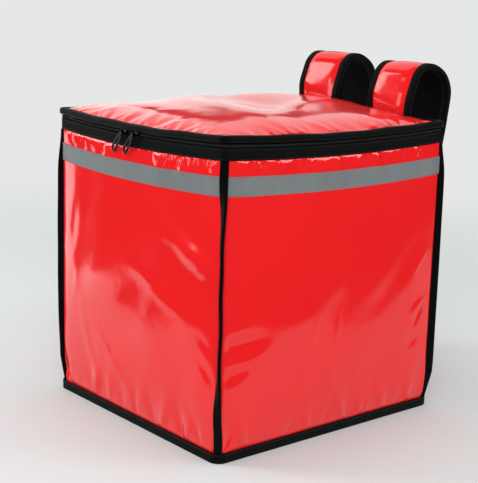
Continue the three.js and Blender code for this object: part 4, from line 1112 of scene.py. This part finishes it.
SLIDER_SPACING = 0.026
SLIDER_LENGTH = 0.015
SLIDER_HEIGHT = 0.007
SLIDER_THICKNESS = 0.0024
BRIDGE_BAR = 0.0016
BRIDGE_OPENING = 0.0046
BRIDGE_RISE = 0.0029
PULLER_LENGTH = 0.038
PULLER_WIDTH = 0.0104
PULLER_TOP_WIDTH = 0.0100
PULLER_NECK = 0.0032
PULLER_THICKNESS = 0.0014
PULLER_RAIL = 0.0036
EYE_BORE = 0.0029
EYE_WALL = 0.00075
PULLER_LEAN = math.radians(45)
PULLER_TILT = math.radians(4)
bar_out = COIL_SIZE / 2 + SEAM_GAP + SLIDER_THICKNESS + BRIDGE_RISE


def closed_rail(path, width, thickness, steps=3):
    """A flat rail of rounded section round a closed path in the plane of x and z."""
    path = np.array(path)
    tangent = unit(np.roll(path, -1, axis=0) - np.roll(path, 1, axis=0))
    side = np.stack([-tangent[:, 1], tangent[:, 0]], -1)
    section = rounded(SQUARE, 0.7, steps)
    rings = [[(x + u * width / 2 * nx, v * thickness / 2, z + u * width / 2 * nz) for u, v in section]
             for (x, z), (nx, nz) in zip(path, side)]
    return sweep(np.array(rings), True)


for hand, sign in (("left", -1), ("right", 1)):
    share = 0.5 + sign * SLIDER_SPACING / 2 / (2 * (HALF_WIDTH - CORNER_SETBACK))
    heart = Vector((sign * SLIDER_SPACING / 2, -(HALF_DEPTH + bulge("front", share, WALL_TOP) + bar_out),
                    coil_middle - sag("front", share, WALL_TOP)))
    seat = Matrix.Translation(heart) @ Matrix.Rotation(math.pi, 4, "Z")
    lean = Matrix.Rotation(-PULLER_LEAN, 4, "Y")

    plate = rounded([(-1, -0.35), (-0.72, -1), (0.72, -1), (1, -0.35), (1, 0.35), (0.72, 1), (-0.72, 1),
                     (-1, 0.35)], 0.3, 3)
    rings = [[(u * (SLIDER_LENGTH / 2 - inset), y - BRIDGE_RISE, v * (SLIDER_HEIGHT / 2 - inset))
              for u, v in plate]
             for inset, y in ((0.0004, -SLIDER_THICKNESS), (0, 0.0004 - SLIDER_THICKNESS), (0, -0.0012),
                              (0.0004, -0.0005), (0.0013, 0))]
    arch_half = (BRIDGE_OPENING + BRIDGE_BAR) / 2
    leg = [(arch_half, -BRIDGE_RISE - 0.001), (arch_half, -0.0012), (arch_half * 0.8, -0.0003),
           (arch_half * 0.5, 0)]
    arch = smooth_route([(-x, y) for x, y in leg] + leg[::-1], 5)
    arch_line = np.stack([arch[:, 0], arch[:, 1], np.zeros(len(arch))], -1) @ np.array(lean.to_3x3()).T
    points, faces = joined(sweep(np.array(rings)), sweep(tube(arch_line, BRIDGE_BAR / 2, 10)))
    place = [seat @ Vector(point) for point in points]
    add_piece("zip_slider_" + hand, place, faces, gunmetal, replaces=["slider_" + hand], slot="slider_metal")

    eye_radius = EYE_BORE / 2 + EYE_WALL
    shoulder = 1.9 * eye_radius
    end_radius = (PULLER_WIDTH - PULLER_RAIL) / 2
    end_heart = PULLER_WIDTH / 2 - PULLER_LENGTH
    top_half = (PULLER_TOP_WIDTH - PULLER_RAIL) / 2
    turns = np.linspace(0, math.pi, 17)
    rail = [(top_half + (end_radius - top_half) * down,
             end_heart * down - (shoulder + PULLER_RAIL) * (1 - down)) for down in np.linspace(0.06, 0.9, 10)]
    path = ([(end_radius * math.cos(turn), end_heart - end_radius * math.sin(turn)) for turn in turns]
            + [(-x, z) for x, z in rail[::-1]]
            + [(top_half * x, -shoulder - PULLER_RAIL / 2) for x in (-0.75, -0.3, 0.3, 0.75)] + rail)
    frame_part = closed_rail(path, PULLER_RAIL, PULLER_THICKNESS)
    eye_turns = np.linspace(0, math.tau, 24, endpoint=False)
    eye_section = rounded(SQUARE, 0.6, 3)
    eye_middle = (EYE_BORE + EYE_WALL) / 2
    eye_part = sweep(np.array([[(u * PULLER_NECK / 2, (eye_middle + v * EYE_WALL / 2) * math.cos(turn),
                                 (eye_middle + v * EYE_WALL / 2) * math.sin(turn)) for u, v in eye_section]
                               for turn in eye_turns]), True)
    neck_part = sweep(np.array([[(u * half, v * PULLER_THICKNESS / 2 * 0.94, -down) for u, v in eye_section]
                                for down, half in ((eye_middle, PULLER_NECK * 0.48),
                                                   (eye_radius + 0.0006, PULLER_NECK * 0.5),
                                                   (shoulder, PULLER_TOP_WIDTH * 0.42),
                                                   (shoulder + 2.6 * PULLER_RAIL, PULLER_TOP_WIDTH * 0.5))]))
    points, faces = joined(frame_part, eye_part, neck_part)
    hanging = seat @ lean @ Matrix.Rotation(-PULLER_TILT, 4, "X")
    add_piece("zip_puller_" + hand, [hanging @ Vector(point) for point in points], faces, gunmetal,
              body="puller_" + hand, replaces=["puller_" + hand], slot="slider_metal")


# Lockstitch in bonded thread holds the strips, the zip tape and the bindings down: red on the
# silver strips and black on the black tapes.
STITCH_PITCH = 0.0042
STITCH_SHARE = 0.74
THREAD = 0.0003
STRIP_SEAM_IN = 0.0014
STRAP_SEAM_IN = 0.0016

red_thread = Finish("red_thread", roughness=0.5, specular_ior_level=0.4)
red_thread.set("Base Color", red_thread.blend(red_thread.waves((1, 1, 1), 2500), (0.40, 0.035, 0.04),
                                              (0.62, 0.10, 0.11)))
black_thread = Finish("black_thread", roughness=0.5, specular_ior_level=0.4)
black_thread.set("Base Color", black_thread.blend(black_thread.waves((1, 1, 1), 2500), (0.004, 0.005, 0.005),
                                                  (0.016, 0.018, 0.018)))


def stitched(rows):
    """Short rounded stitches along rows, each a line and the ways out from it."""
    turns = np.linspace(0, math.tau, 5, endpoint=False)
    parts = []
    for line, ways in rows:
        place, way = resample(line, ways, STITCH_PITCH)
        tangent = unit(np.gradient(place, axis=0))
        across = np.cross(way, tangent)
        half = STITCH_PITCH * STITCH_SHARE / 2
        rings = np.stack([place[:, None] + tangent[:, None] * half * run + size * THREAD * (
            way[:, None] * np.sin(turns)[None, :, None] + across[:, None] * np.cos(turns)[None, :, None])
            for run, size in ((-1, 0.35), (-0.75, 1), (0.75, 1), (1, 0.35))], 1)
        parts += [sweep(stitch) for stitch in rings]
    return joined(*parts)


def strip_line(side, height, lift):
    share = np.linspace(0.012, 0.988, 120)
    out = SIDES[side]["face"] + film(side, share, height) + lift
    line = on_side(side, (2 * share - 1) * SIDES[side]["half"], out, height - sag(side, share, height))
    return line, np.broadcast_to(np.array((*SIDES[side]["outward"], 0.0)), line.shape)


strip_rows = [strip_line(side, height, SEAM_GAP + STRIP_THICKNESS)
              for side in ZIP_SIDES for height in (STRIP_BOTTOM + STRIP_SEAM_IN, STRIP_TOP - STRIP_SEAM_IN)]
add_piece("strip_stitches", *stitched(strip_rows), red_thread, slot="red_vinyl")

tape_rows = []
for places, level, height, out in ((tape_places, WALL_TOP, TAPE_BOTTOM + 0.0016, TAPE_OUT),
                                   (tape_places, WALL_TOP, TAPE_TOP - 0.0022, TAPE_OUT),
                                   (base_places, 0.0, BASE_TOP - 0.0022, base_outer),
                                   (lid_places, WALL_TOP, lid_low + 0.0018, lid_outer)):
    line, ways = along_places(places, level, height)
    tape_rows.append((line + ways * out, ways))
add_piece("tape_stitches", *stitched(tape_rows), black_thread, slot="binding")

strap_rows = []
for hand, places in strap_places.items():
    for sign in (-1, 1):
        across = sign * (places["half"] - STRAP_BINDING + STRAP_SEAM_IN)
        for depth, out in ((0.0, -1), (STRAP_THICKNESS, 1)):
            line = (places["middle"] + places["inward"] * depth
                    + np.stack([across, places["lean"] * across / STRAP_WIDTH, 0 * across], -1))
            strap_rows.append((line, out * places["inward"]))
add_piece("strap_stitches", *stitched(strap_rows), black_thread, slot="binding")
